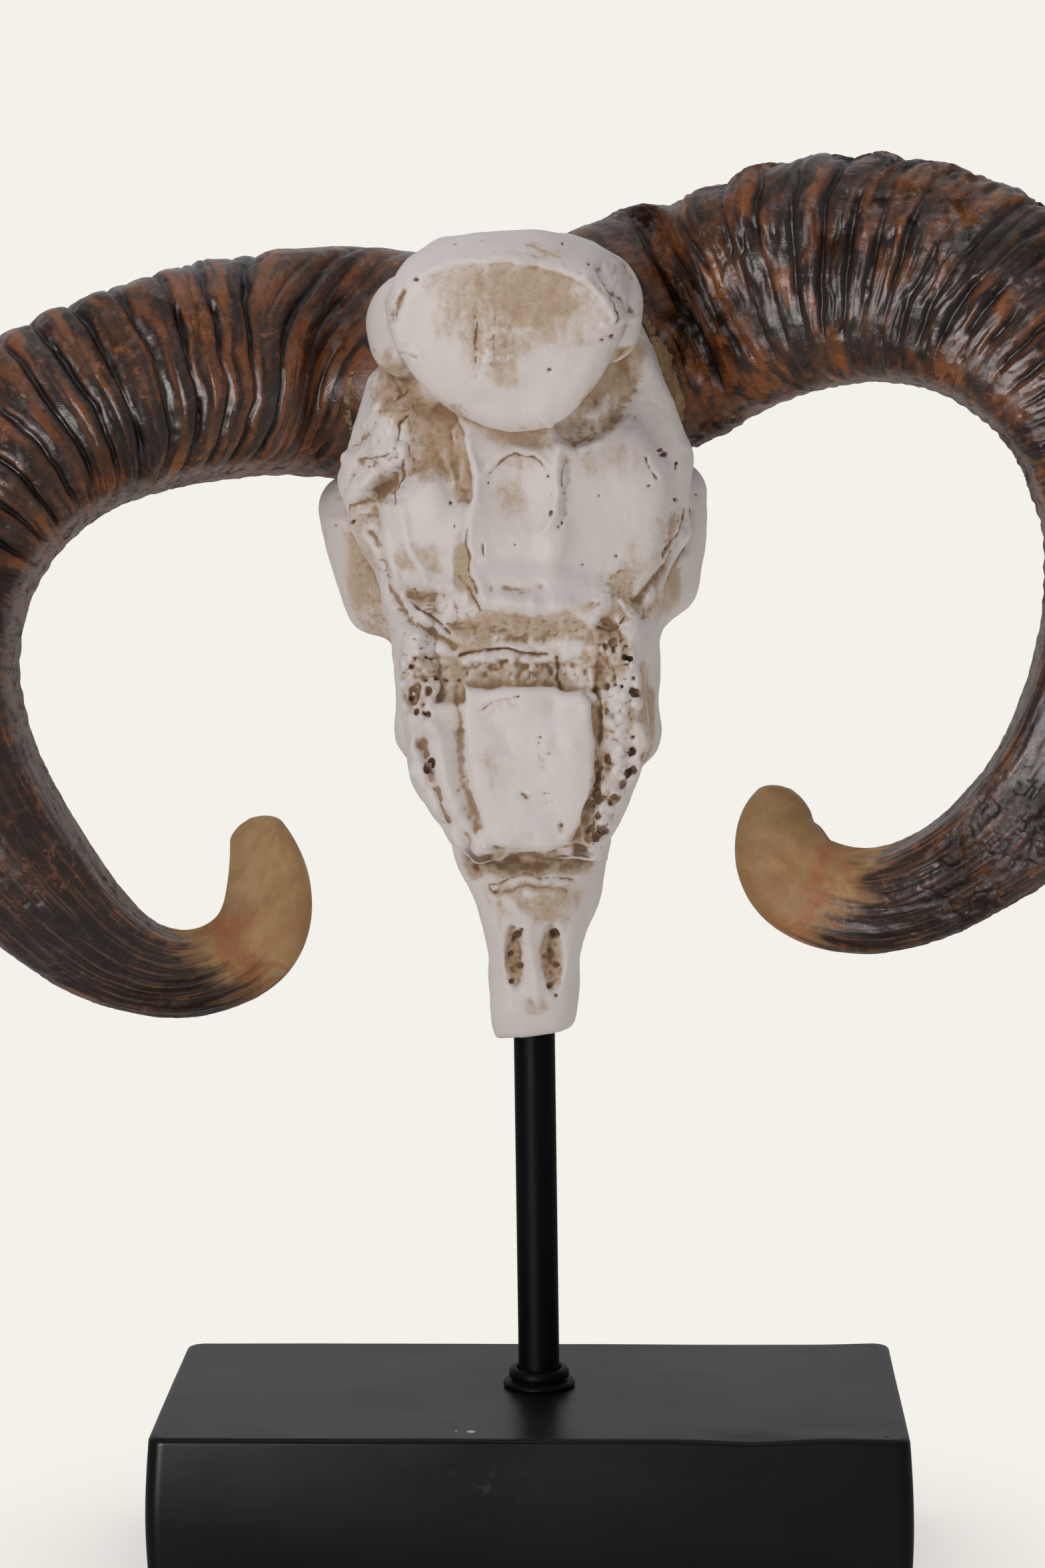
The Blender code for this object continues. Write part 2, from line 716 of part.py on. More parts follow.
def base_block():
    """The carved block: sides that swell a little, rounded edges and a bore for the rod."""
    bm = bmesh.new()
    place = Matrix.Translation((0, 0, BASE_HEIGHT / 2))
    size = Matrix.Diagonal((BASE_WIDTH, BASE_DEPTH, BASE_HEIGHT, 1))
    bmesh.ops.create_cube(bm, size=1, matrix=place @ size)
    upright = [e for e in bm.edges if abs(e.verts[0].co.z - e.verts[1].co.z) > BASE_HEIGHT / 2]
    bmesh.ops.bevel(bm, geom=upright, offset=BASE_CORNER, segments=3, affect="EDGES", profile=0.5)
    level = [e for e in bm.edges if abs(e.verts[0].co.z - e.verts[1].co.z) < GAP]
    bmesh.ops.bevel(bm, geom=level, offset=BASE_EDGE, segments=2, affect="EDGES", profile=0.5)
    upright = [e for e in bm.edges if abs(e.verts[0].co.z - e.verts[1].co.z) > BASE_HEIGHT / 2]
    bmesh.ops.subdivide_edges(bm, edges=upright, cuts=2)
    for vertex in bm.verts:
        share = vertex.co.z / BASE_HEIGHT
        swell = BASE_BULGE * math.sin(math.pi * min(1.0, max(0.0, share)))
        vertex.co.x += math.copysign(swell, vertex.co.x)
        vertex.co.y += math.copysign(swell, vertex.co.y)
    block = mesh_of(bm, "base_block")
    return combined(block, grown(mount_rod(), GAP), "DIFFERENCE")


def mount_rod():
    """The rod, sunk into the base and let into the muzzle."""
    place = skull_place()
    top = place @ rod_top_in_skull_frame()
    along = (top - ROD_FOOT).normalized()
    return rod_mesh(ROD_FOOT - along * ROD_SINK, top)


def rod_flange():
    """The turned collar at the rod's foot: a disc with a rounded bead on it."""
    inner = ROD_DIAMETER / 2 + 2 * GAP
    foot = BASE_HEIGHT + GAP
    disc_top = foot + FLANGE_DISC_HEIGHT
    top = foot + FLANGE_HEIGHT
    bead = FLANGE_BEAD_RADIUS
    edge = FLANGE_ROUND
    profile = (
        (inner, top),
        (bead - 2 * edge, top),
        (bead - edge / 3, top - edge),
        (bead, (top + disc_top) / 2),
        (bead - edge / 2, disc_top + edge),
        (FLANGE_RADIUS - edge, disc_top),
        (FLANGE_RADIUS, disc_top - edge),
        (FLANGE_RADIUS, foot),
        (inner, foot),
    )
    mesh = bpy.data.meshes.new("rod_flange")
    points = [(radius, 0, height) for radius, height in profile]
    edges = [(i, (i + 1) % len(points)) for i in range(len(points))]
    mesh.from_pydata(points, edges, [])
    turned = evaluated(
        mesh,
        (
            "SCREW",
            {
                "steps": FLANGE_STEPS,
                "render_steps": FLANGE_STEPS,
                "use_merge_vertices": True,
                "merge_threshold": 0.00005,
            },
        ),
    )
    bm = bmesh.new()
    bm.from_mesh(turned)
    bmesh.ops.remove_doubles(bm, verts=bm.verts, dist=0.00002)
    bmesh.ops.translate(bm, verts=bm.verts, vec=(ROD_FOOT.x, ROD_FOOT.y, 0))
    return mesh_of(bm, "rod_flange")


# Assembly


def add_piece(collection, name, mesh, material, parent=None):
    mesh.name = name
    mesh.materials.clear()
    mesh.materials.append(material)
    mesh.shade_smooth()
    mesh.set_sharp_from_angle(angle=SMOOTH_ANGLE)
    thing = bpy.data.objects.new(name, mesh)
    collection.objects.link(thing)
    thing.parent = parent
    return thing


def build():
    clear_scene()
    collection = bpy.data.collections.new(COLLECTION_NAME)
    bpy.context.scene.collection.children.link(collection)
    bone = make_material("cast_bone", (0.60, 0.56, 0.52), 0.75)
    core = make_material("core_rim", (0.36, 0.27, 0.17), 0.7)
    horn = make_material("horn_brown", (0.09, 0.032, 0.012), 0.3)
    pale = make_material("horn_tip", (0.36, 0.25, 0.12), 0.4)
    black_metal = make_material("black_metal", (0.012, 0.012, 0.013), 0.4)
    black_wood = make_material("black_wood", (0.02, 0.019, 0.019), 0.38)
    frame = bpy.data.objects.new("skull_frame", None)
    frame.matrix_world = skull_place()
    collection.objects.link(frame)
    for name, mesh in skull_pieces().items():
        finish = bone
        if name.startswith("horn_core"):
            finish = core
        elif name.startswith("horn_tip"):
            finish = pale
        elif name.startswith("horn"):
            finish = horn
        add_piece(collection, name, mesh, finish, frame)
    add_piece(collection, "base_block", base_block(), black_wood)
    add_piece(collection, "mount_rod", mount_rod(), black_metal)
    add_piece(collection, "rod_flange", rod_flange(), black_metal)


build()
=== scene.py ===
"""Ram skull on a display stand: fine shapes, materials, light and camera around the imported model."""
import math
from types import SimpleNamespace

import bpy
import numpy as np
from mathutils import Matrix, Vector


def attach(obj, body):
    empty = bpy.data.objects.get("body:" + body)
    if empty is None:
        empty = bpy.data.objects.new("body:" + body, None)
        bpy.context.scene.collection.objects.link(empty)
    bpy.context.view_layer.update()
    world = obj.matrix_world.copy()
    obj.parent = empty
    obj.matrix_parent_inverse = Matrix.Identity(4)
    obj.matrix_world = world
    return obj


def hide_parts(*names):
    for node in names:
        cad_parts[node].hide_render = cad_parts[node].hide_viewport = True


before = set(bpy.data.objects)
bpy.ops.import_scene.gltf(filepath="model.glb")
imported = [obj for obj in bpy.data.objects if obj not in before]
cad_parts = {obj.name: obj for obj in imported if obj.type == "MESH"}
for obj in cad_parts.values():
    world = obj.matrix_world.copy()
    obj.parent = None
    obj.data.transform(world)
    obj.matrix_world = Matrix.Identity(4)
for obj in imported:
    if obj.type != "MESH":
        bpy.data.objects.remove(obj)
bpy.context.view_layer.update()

MM = 0.001
PHOTO_WIDTH = 1568
PHOTO_HEIGHT = 2352

# Camera: place in metres, angles, focal length in photo pixels, sensor in mm
CAMERA_PLACE = Vector((0.0377, -1.31, 0.4301))
CAMERA_PITCH = math.radians(7.02)
CAMERA_AZIMUTH = math.radians(1.75)
CAMERA_ROLL = math.radians(-0.35)
CAMERA_FOCAL = 5900
SENSOR = 36.0

# Stand, in mm, as in the CAD
BASE_SIZE = (250.0, 121.0, 60.0)
ROD_FOOT = (2.0, 6.0, 60.0)
ROD_RADIUS = 7.0
ROD_IN_MUZZLE = 26.0
ROD_IN_BLOCK = 22.0
FLANGE_RADIUS = 12.3
BEAD_RADIUS = 10.3
FLANGE_HEIGHT = 6.5
DISC_HEIGHT = 2.2

# Skull frame: x across, y from palate to face, z from muzzle to poll, in mm
SKULL_ORIGIN = np.array((1.0, 6.0, 182.6))
SKULL_ROLL = math.radians(-1.7)
ROLL_COS, ROLL_SIN = math.cos(SKULL_ROLL), math.sin(SKULL_ROLL)
SKULL_TURN = np.array(((ROLL_COS, 0, ROLL_SIN), (0, 1, 0), (-ROLL_SIN, 0, ROLL_COS)))
GRID_STEP = 0.62
GRID_LOW = np.array((-73.0, -72.0, -4.0))
GRID_HIGH = np.array((72.0, 63.0, 276.0))

# The grid is worked through in blocks, this many steps long. A block gets its exact values where its
# middle is nearer to the surface than HALF_DIAGONAL lengths, times FIELD_SLACK, plus FIELD_MARGIN mm.
BLOCK = 8
HALF_DIAGONAL = 0.87
FIELD_SLACK = 1.3
FIELD_MARGIN = 2.5
BLOCKS_AT_ONCE = 400

# Worked edges wobble by this much over this length, as if made by hand
HAND_WOBBLE = 0.9
HAND_WOBBLE_LENGTH = 15.0

# The muzzle's end: its height in the middle, its slant, and how softly ends meet sides
MUZZLE_END = 0.9
MUZZLE_SLANT = 0.10
END_BLEND = 2.2

# The skull's sections: height, half width left and right, y of the palate and face sides, squareness
SKULL_STATIONS = (
    (0.5, 13.4, 12.6, -12.3, 11.5, 3.4), (5.0, 14.2, 13.6, -13.5, 13.0, 3.4),
    (16.0, 14.6, 15.2, -14.5, 15.0, 3.2), (30.0, 15.5, 18.5, -15.5, 18.0, 3.0),
    (44.0, 18.0, 22.8, -17.0, 22.0, 2.8), (57.0, 22.8, 25.5, -19.0, 27.0, 2.6),
    (68.0, 26.2, 28.6, -21.0, 32.0, 2.5), (78.0, 28.3, 32.4, -22.0, 37.0, 2.4),
    (88.0, 33.6, 38.0, -22.0, 41.0, 2.4), (98.0, 41.5, 44.5, -22.0, 44.0, 2.4),
    (115.0, 43.0, 45.8, -22.0, 48.0, 2.3), (132.0, 44.5, 47.2, -22.0, 51.0, 2.3),
    (150.0, 48.0, 50.0, -22.0, 54.0, 2.3), (170.0, 50.0, 51.5, -22.0, 57.0, 2.3),
    (190.0, 52.0, 54.0, -22.0, 57.0, 2.3), (205.0, 53.5, 55.0, -23.0, 54.0, 2.3),
    (220.0, 47.5, 51.5, -25.0, 51.0, 2.2), (236.0, 43.0, 46.5, -27.0, 46.0, 2.2),
    (250.0, 40.0, 41.0, -28.0, 38.0, 2.2), (262.0, 33.0, 33.0, -27.0, 25.0, 2.2),
    (269.0, 22.0, 22.0, -24.0, 8.0, 2.0),
)

# Rounded masses that stand out of the main form: centre, radii, blend
MASSES = {
    "orbit_rim_left": ((-46, 24, 171.5), (21.5, 24, 21), 6),
    "orbit_rim_right": ((44, 24, 173), (19.5, 24, 23), 6),
    "cheekbone_left": ((-42, 15, 156), (17.5, 20, 20), 6),
    "cheekbone_right": ((42, 15, 156), (17.5, 20, 20), 6),
    "nasal_bridge": ((1, 35, 112), (17, 19, 61), 9),
    "brow_left": ((-27, 40, 188), (25, 17, 17), 9),
    "brow_right": ((27, 40, 188), (25, 17, 17), 9),
    "jaw_knob_left": ((-36, 16, 101), (7.2, 12, 9), 4),
    "jaw_knob_right": ((38, 16, 100), (7.2, 12, 10), 4),
    "mastoid_left": ((-35.5, -18, 240), (10.5, 11, 16), 3.5),
    "mastoid_right": ((33.5, -21, 243.5), (11.5, 11.5, 17), 3.5),
    "plate_left": ((-28, -10, 172), (17, 14.2, 25), 8),
    "plate_right": ((32, -8, 183), (20, 15.5, 33), 8),
    "plate_left_top": ((-37, -12, 206), (12, 12, 15), 6),
    "lump_right_low": ((27, -17, 148), (14, 10.5, 8), 5),
    "lump_left_low": ((-24, -18, 147), (10, 8.5, 7), 5),
}

# Ridges: start, end, radius at each, blend
RIDGES = {
    "temple_left": ((-40, -6, 219), (-49, -3, 190), 8.0, 9.4, 5),
    "cheek_left_top": ((-49, -3, 190), (-46.5, -6, 168), 9.4, 7.2, 4),
    "cheek_left_mid": ((-46.5, -6, 168), (-38, -13, 150), 7.2, 6.0, 4),
    "cheek_left_low": ((-38, -13, 150), (-35, -16.5, 132), 6.0, 6.0, 4),
    "temple_right": ((38, -8, 231), (49.5, -4, 193), 8.0, 9.6, 5),
    "cheek_right_top": ((49.5, -4, 193), (49.5, -6, 168), 9.6, 7.6, 4),
    "cheek_right_mid": ((49.5, -6, 168), (41.5, -13, 150), 7.6, 6.5, 4),
    "cheek_right_low": ((41.5, -13, 150), (39, -15.5, 131), 6.5, 6.5, 4),
    "lobe_left": ((-57.5, 20, 179.5), (-48.5, 13, 146.5), 9.5, 9.0, 6),
    "lobe_right": ((54.0, 20, 181), (51, 14, 150), 9.5, 9.0, 6),
    "bar_edge_right": ((16, -26.5, 204), (15.5, -25.5, 170), 2.6, 2.8, 4),
    "bar_edge_left": ((-15, -26.5, 206), (-13.5, -25.5, 172), 3.0, 2.4, 4),
}

# Hollows: centre, radii, blend
HOLLOWS = {
    "eye_socket_left": ((-66, 36, 171), (20, 18, 18), 4),
    "eye_socket_right": ((64, 36, 171), (20, 18, 18), 4),
    "nasal_opening": ((0.5, 25, 36), (8.5, 11, 23), 3),
    "fossa_left": ((-56, -17, 155), (8.5, 19, 17), 5),
    "fossa_right": ((58.5, -17, 149), (8.5, 19, 18), 5),
    "under_boss_right": ((27, -35, 208), (15, 10, 9), 5),
    "under_boss_left": ((-27, -35, 206), (10, 9, 12), 6),
    "groove_by_bar": ((-19, -32, 191), (3.6, 7, 13), 5),
    "behind_mastoid_left": ((-37.5, -36, 229), (3.4, 8, 5.2), 4.0),
    "bar_dish": ((1, -39, 183), (10, 10.5, 14), 5),
    "foramen_left": ((-5.2, -16.5, 28.3), (3.5, 5.0, 11.6), 1.6),
    "foramen_right": ((7.6, -16.5, 27.0), (3.8, 5.2, 12.2), 1.6),
    "step_under_plug": ((0, -31, 60), (15, 7.5, 6), 4),
}

# Flat-fronted parts of the palate side: outline (x, z), front y, lean, edge, blend.
# The front leans back by this much for each mm outwards from FLAT_REACH.
FLAT_REACH = 13.0
SLABS = {
    "palate": (
        ((-16, 63), (23, 62), (33, 82), (36, 100), (34, 137), (-33, 137), (-34, 100), (-24, 77)),
        -26.6, 0, 3.0, 5.0,
    ),
    "bar": (((-11.5, 148), (14.5, 148), (16, 193), (20, 214), (-19, 214), (-15, 186)), -29.6, 0, 4.0, 6.0),
    "plate_right": (
        ((8, 148), (44, 148), (50, 168), (51, 192), (42, 206), (12, 203)),
        -29.8, 0.22, 6.0, 4.0,
    ),
    "plate_left": (((-43, 156), (-10, 150), (-10, 186), (-26, 192), (-45, 182)), -28.2, 0.16, 6.0, 5.0),
    "bar_foot": (
        ((-24, 140), (27, 140), (30, 152), (14, 158), (-10, 158), (-24, 152)),
        -29.4, 0.05, 5.0, 6.0,
    ),
    "above_choana": (((-24, 131.5), (27, 131.5), (28, 150), (-24, 150)), -28.8, 0, 3.0, 5.0),
    "choana_floor": (((-24, 117), (24, 117), (26, 134), (-25, 134)), -28.2, 0, 1.5, 3.0),
    "left_strip": (
        ((-30, 116), (-30.5, 100), (-24, 82), (-15, 68), (-11, 67), (-15, 90), (-17, 116)),
        -32.5, 0, 2.5, 3.0,
    ),
    "channel_floor": (((22, 118), (31, 118), (31, 98), (27, 82), (20, 68), (15, 68)), -29.2, 0, 1.5, 2.5),
}

# The plug over the palate: its outline (x, z), front y, edge and blend
PLUG_OUTLINE = (
    (-18.2, 121.5), (-10, 120.6), (-4.5, 121.9), (11, 121.5), (14, 119.5), (20.2, 119.2), (23.3, 115.5),
    (24.6, 101), (23.2, 86), (20.4, 76), (15.5, 68.6), (9, 66.6), (-1.5, 67.0), (-10.8, 69.6),
    (-14.2, 75.5), (-16.8, 88), (-18.3, 104),
)
PLUG_FRONT = -33.6
PLUG_EDGE = 2.6
PLUG_BLEND = 1.6

# The boss that closes the back of the skull: its front face and its outline by angle in degrees
BOSS_CENTRE = np.array((1.0, -52.0, 232.3))
BOSS_TILT = math.radians(14)
BOSS_DEPTH = 35.0
BOSS_TOP = 270.6
BOSS_FLARE = 5.4
BOSS_FLARE_LENGTH = 16.0
BOSS_BLEND = 2.2
BOSS_OUTLINE = (
    (0, 35.5), (15, 36.3), (30, 35.3), (42, 34.0), (60, 31.5), (88, 29.8), (116, 32.2), (136, 36.0),
    (160, 37.2), (180, 35.5), (195, 33.2), (220, 29.3), (245, 28.6), (272, 30.3), (300, 30.5), (335, 32.2),
    (360, 35.5),
)

# Tooth rows as strings of swellings: x, z, radius across. Small knobs and pits lie on them.
TOOTH_ROW_LEFT = ((-34.0, 138, 7.2), (-32.5, 98, 6.6), (-22.5, 77, 5.0), (-15.0, 68, 3.8))
TOOTH_ROW_RIGHT = ((35.0, 136, 7.2), (35.2, 99, 6.8), (28.0, 81, 5.0), (22.5, 69, 3.8))
TOOTH_SEED = 11
SWELLINGS = 8
SWELLING_FRONT = -19.6
KNOBS = 44
KNOB_FRONT = -28.4
PIT_FRONT = -31.0

# Horns: distance out, y and z of the middle line, thickness in the curl's plane, depth
HORN_LEFT = (
    (33, 30, 225, 73, 72), (51, 33, 227, 74, 66), (70, 25, 228.5, 72.5, 61), (108, 0, 225.5, 66.5, 56),
    (160, -22, 205, 61, 52), (187, -34, 165, 55, 47), (189, -35, 120, 48.5, 43), (163.5, -22, 59, 42, 38),
    (145.5, -12, 37.6, 33.8, 34), (117.5, 2, 24.2, 26.6, 28), (94, 13, 34.4, 29.2, 21),
    (90.4, 18, 48, 28.0, 17), (92.5, 22, 63.8, 21.8, 13.5), (95.8, 24, 73.6, 15.2, 10.5),
)
HORN_RIGHT = (
    (29, 30, 231, 77, 72), (52, 33, 236, 82, 68), (70, 25, 242, 76, 63), (97, 8, 251, 75, 58),
    (137, -9, 250.5, 71.5, 55), (185, -28, 217, 63.5, 51), (200.5, -36, 165, 56, 47),
    (181, -32, 93, 46.5, 41), (144, -16, 54.2, 34.8, 35), (105.5, 3, 42.8, 34.4, 28.5),
    (90.4, 10.5, 50, 34.2, 24), (86.0, 16, 60.2, 31.0, 19), (86.0, 19.5, 69, 25.0, 14.5),
    (90.2, 21.5, 77.9, 15.5, 9.5),
)
HORN_END_RADIUS = 5.0
HORN_SQUARENESS = 2.6
HORN_SECTION_TURN = {-1: math.radians(-26), 1: math.radians(-4)}
HORN_KEEL_ANGLE = math.radians(-142)
HORN_CREST_ANGLE = math.radians(-34)
HORN_BASE_NORMAL = np.array((0.84, 0.48, 0.25)) / np.linalg.norm((0.84, 0.48, 0.25))
HORN_BASE_TURN = 0.16
RIDGE_END = 0.60
HORN_RINGS, HORN_SIDES = ((860, 228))
END_RINGS = 5
END_BULGE = 0.12
TRACK_SAMPLES = 800

# How each horn looks: the left one's value, then the right one's
HORN_LOOKS = {
    "keys": (HORN_LEFT, HORN_RIGHT),
    "side": (-1, 1),
    "seed": (100, 300),
    "spacing": (11.4, 8.8),
    "ridge": (1.05, 0.85),
    "short": (0.40, 0.95),
    "stripe": ((2.6, 30, 30), (4.5, 10, 10)),
    "cuts": (0.35, 1.0),
    "scallop": (0.5, 1.0),
    "small_spacing": (12.0, 7.4),
    "slant_root": (-15.0, -9.0),
    "slant_far": (-1.0, 5.0),
    "erosion": (0.25, 0.9),
    "pits": (0.35, 1.0),
    "pale_from": (0.850, 0.866),
    "plain_band": (0.0, 0.85),
    "root_depth": (11.0, 4.0),
    "rim_angle": (-60, -46),
    "rim_reach": (3.0, 8.5),
    "rim_lift": (0.3, 1.6),
}

# Rings that lead a horn into the skull: size and share of its depth there
ROOT_RINGS = ((0.03, 1), (0.6, 1), (0.93, 1), (0.95, 0.85), (0.965, 0.65), (0.98, 0.4), (0.99, 0.2))


# Noise


def hashed(ix, iy, iz, seed):
    """A number from 0 to 1 for every corner of an endless lattice."""
    x, y, z = (axis.astype(np.uint32) for axis in (ix, iy, iz))
    value = x * np.uint32(374761393) + y * np.uint32(668265263) + z * np.uint32(2246822519)
    value = value + np.uint32(seed * 3266489917 % 4294967296)
    for shift, factor in ((15, 2246822519), (13, 3266489917)):
        value = (value ^ (value >> np.uint32(shift))) * np.uint32(factor)
    value = value ^ (value >> np.uint32(16))
    return value.astype(np.float32) / np.float32(4294967296.0)


def value_noise(points, scale, seed):
    """Smooth noise from -1 to 1, whose lumps are about scale across."""
    spot = np.asarray(points, np.float32) / np.asarray(scale, np.float32) + 512.0
    cell = np.floor(spot).astype(np.int32)
    part = spot - cell
    part = part * part * part * (part * (part * 6 - 15) + 10)
    total = np.zeros(len(spot), np.float32)
    for corner in range(8):
        offset = (corner & 1, corner >> 1 & 1, corner >> 2 & 1)
        x, y, z = (part[:, n] if offset[n] else 1 - part[:, n] for n in range(3))
        total += x * y * z * hashed(*(cell[:, n] + offset[n] for n in range(3)), seed)
    return total * 2 - 1


def layered_noise(points, scale, seed, layers=3):
    """Noise with finer noise laid over it."""
    total = np.zeros(len(points), np.float32)
    size, weight, weights = np.asarray(scale, float), 1.0, 0.0
    for layer in range(layers):
        total += weight * value_noise(points, size, seed + layer * 17)
        weights += weight
        size = size / 2.03
        weight *= 0.5
    return total / weights


def paired_noise(points, scale, first_seed, second_seed, layers=1):
    """Two independent noises, as sideways movements."""
    seeds = (first_seed, second_seed)
    return np.stack([layered_noise(points, scale, seed, layers) for seed in seeds], axis=1)


def spots(points, spacing, seed, radius):
    """Scattered round spots: 1 in the middle of a spot and 0 outside it."""
    spot = np.asarray(points, np.float32) / spacing + 512.0
    cell = np.floor(spot).astype(np.int32)
    nearest = np.full(len(spot), 9.0, np.float32)
    for step in np.ndindex(3, 3, 3):
        corner = [cell[:, n] + step[n] - 1 for n in range(3)]
        size = 0.35 + 0.65 * hashed(*corner, seed + 3)
        gap = sum((spot[:, k] - corner[k] - hashed(*corner, seed + k)) ** 2 for k in range(3))
        nearest = np.minimum(nearest, np.sqrt(gap) / size)
    share = np.clip(1 - nearest * spacing / radius, 0, 1)
    return share * share * (3 - 2 * share)


def eased(value, low, high):
    """0 below low, 1 above high and smooth between them."""
    share = np.clip((value - low) / (high - low), 0, 1)
    return share * share * (3 - 2 * share)


def hill(distance, width):
    """1 at no distance, falling smoothly to 0 past about twice the width."""
    return np.exp(-((distance / width) ** 2))


def unit(rows):
    return rows / np.linalg.norm(rows, axis=-1, keepdims=True)


# Camera


def camera_axes():
    """The picture's right, up and forward directions."""
    pitch, azimuth = CAMERA_PITCH, CAMERA_AZIMUTH
    level_forward = Vector((-math.sin(azimuth), math.cos(azimuth), 0))
    forward = level_forward * math.cos(pitch) - Vector((0, 0, math.sin(pitch)))
    level = Vector((math.cos(azimuth), math.sin(azimuth), 0))
    up = level.cross(forward)
    cosine, sine = math.cos(CAMERA_ROLL), math.sin(CAMERA_ROLL)
    return level * cosine + up * sine, up * cosine - level * sine, forward


def make_camera():
    right, up, forward = camera_axes()
    data = bpy.data.cameras.new("photo_camera")
    data.sensor_width = SENSOR
    data.lens = CAMERA_FOCAL / PHOTO_HEIGHT * SENSOR
    data.clip_end = 50
    camera = bpy.data.objects.new("photo_camera", data)
    turn = Matrix((right, up, -forward)).transposed().to_4x4()
    camera.matrix_world = Matrix.Translation(CAMERA_PLACE) @ turn
    bpy.context.scene.collection.objects.link(camera)
    bpy.context.scene.camera = camera


def photo_places(points):
    """Where points of the scene lie in the photo, in its pixels."""
    right, up, forward = (np.array(axis) for axis in camera_axes())
    away = points - np.array(CAMERA_PLACE)
    depth = away @ forward
    across = PHOTO_WIDTH / 2 + away @ right / depth * CAMERA_FOCAL
    down = PHOTO_HEIGHT / 2 - away @ up / depth * CAMERA_FOCAL
    return np.stack([across, down], axis=1)


# Meshes


def skull_to_scene(points):
    """Skull millimetres to scene metres."""
    return (points @ SKULL_TURN.T + SKULL_ORIGIN) * MM


def add_mesh(name, points, quads, attributes=None):
    """A smooth-shaded object from vertex and face arrays, with numbers kept on its vertices."""
    mesh = bpy.data.meshes.new(name)
    mesh.vertices.add(len(points))
    mesh.vertices.foreach_set("co", np.asarray(points, np.float32).ravel())
    mesh.loops.add(quads.size)
    mesh.loops.foreach_set("vertex_index", quads.astype(np.int32).ravel())
    mesh.polygons.add(len(quads))
    mesh.polygons.foreach_set("loop_start", np.arange(0, quads.size, 4, dtype=np.int32))
    mesh.polygons.foreach_set("use_smooth", np.ones(len(quads), bool))
    mesh.update(calc_edges=True)
    for key, values in (attributes or {}).items():
        layer = mesh.attributes.new(key, "FLOAT", "POINT")
        layer.data.foreach_set("value", np.asarray(values, np.float32))
    thing = bpy.data.objects.new(name, mesh)
    bpy.context.scene.collection.objects.link(thing)
    return thing


def surface_nets(values, low, step):
    """Vertices and quads of the surface where the values on a grid pass through 0."""
    inside = values < 0
    shape = np.array(values.shape)
    count = np.zeros(shape - 1, np.int8)
    corners = list(np.ndindex(2, 2, 2))
    for i, j, k in corners:
        count += inside[i : shape[0] - 1 + i, j : shape[1] - 1 + j, k : shape[2] - 1 + k]
    mixed = (count > 0) & (count < 8)
    cells = np.argwhere(mixed)
    label = np.full(shape - 1, -1, np.int32)
    label[mixed] = np.arange(len(cells), dtype=np.int32)
    place = np.zeros((len(cells), 3), np.float32)
    crossings = np.zeros(len(cells), np.float32)
    at = {c: values[cells[:, 0] + c[0], cells[:, 1] + c[1], cells[:, 2] + c[2]] for c in corners}
    for start in corners:
        for axis in range(3):
            if start[axis]:
                continue
            end = tuple(1 if n == axis else start[n] for n in range(3))
            first, second = at[start], at[end]
            through = (first < 0) != (second < 0)
            spot = np.tile(np.array(start, np.float32), (through.sum(), 1))
            spot[:, axis] += first[through] / (first[through] - second[through])
            place[through] += spot
            crossings[through] += 1
    place = (cells + place / crossings[:, None]) * step + low
    quads = []
    for axis in range(3):
        one, two = [n for n in range(3) if n != axis]
        lower, upper = [slice(None)] * 3, [slice(None)] * 3
        lower[axis], upper[axis] = slice(0, -1), slice(1, None)
        edges = np.argwhere(inside[tuple(lower)] != inside[tuple(upper)])
        keep = (edges[:, one] > 0) & (edges[:, two] > 0)
        keep &= (edges[:, one] < shape[one] - 1) & (edges[:, two] < shape[two] - 1)
        edges = edges[keep]
        starts_in = inside[edges[:, 0], edges[:, 1], edges[:, 2]]
        ring = []
        for a, b in ((0, 0), (1, 0), (1, 1), (0, 1)):
            cell = edges.copy()
            cell[:, one] -= a
            cell[:, two] -= b
            ring.append(label[cell[:, 0], cell[:, 1], cell[:, 2]])
        face = np.stack(ring, axis=1)
        flip = starts_in if axis != 1 else ~starts_in
        face[flip] = face[flip][:, ::-1]
        quads.append(face)
    return place, np.concatenate(quads)[:, ::-1]


def tube_quads(rings, sides, flip=False, head=False, tail=False):
    """Quads of a tube of rings. Fans close its ends, to points that follow the tube's own."""
    i = np.arange(rings - 1)[:, None] * sides
    j = np.arange(sides)[None, :]
    after = (j + 1) % sides
    quads = [np.stack([i + j, i + after, i + sides + after, i + sides + j], axis=-1).reshape(-1, 4)]
    j = np.arange(0, sides, 2)
    fan = np.stack([j, (j + 1) % sides, (j + 2) % sides], axis=1)
    if head:
        quads.append(np.column_stack([fan[:, ::-1], np.full(len(j), rings * sides)]))
    if tail:
        quads.append(np.column_stack([fan + (rings - 1) * sides, np.full(len(j), rings * sides + 1)]))
    quads = np.concatenate(quads)
    return quads[:, ::-1] if flip else quads


# Skull as a distance field, in skull mm


def blend_union(first, second, width):
    share = np.clip(0.5 + 0.5 * (second - first) / width, 0, 1)
    return second + (first - second) * share - width * share * (1 - share)


def blend_cut(solid, hollow, width):
    return -blend_union(-solid, hollow, width)


def blend_common(first, second, width):
    return -blend_union(-first, -second, width)


def ellipsoid_distance(points, centre, radii):
    radii = np.array(radii, np.float32)
    spot = (points - np.array(centre, np.float32)) / radii
    near = np.sqrt((spot**2).sum(1)) + 1e-6
    slope = np.sqrt(((spot / radii) ** 2).sum(1)) + 1e-6
    return near * (near - 1) / slope


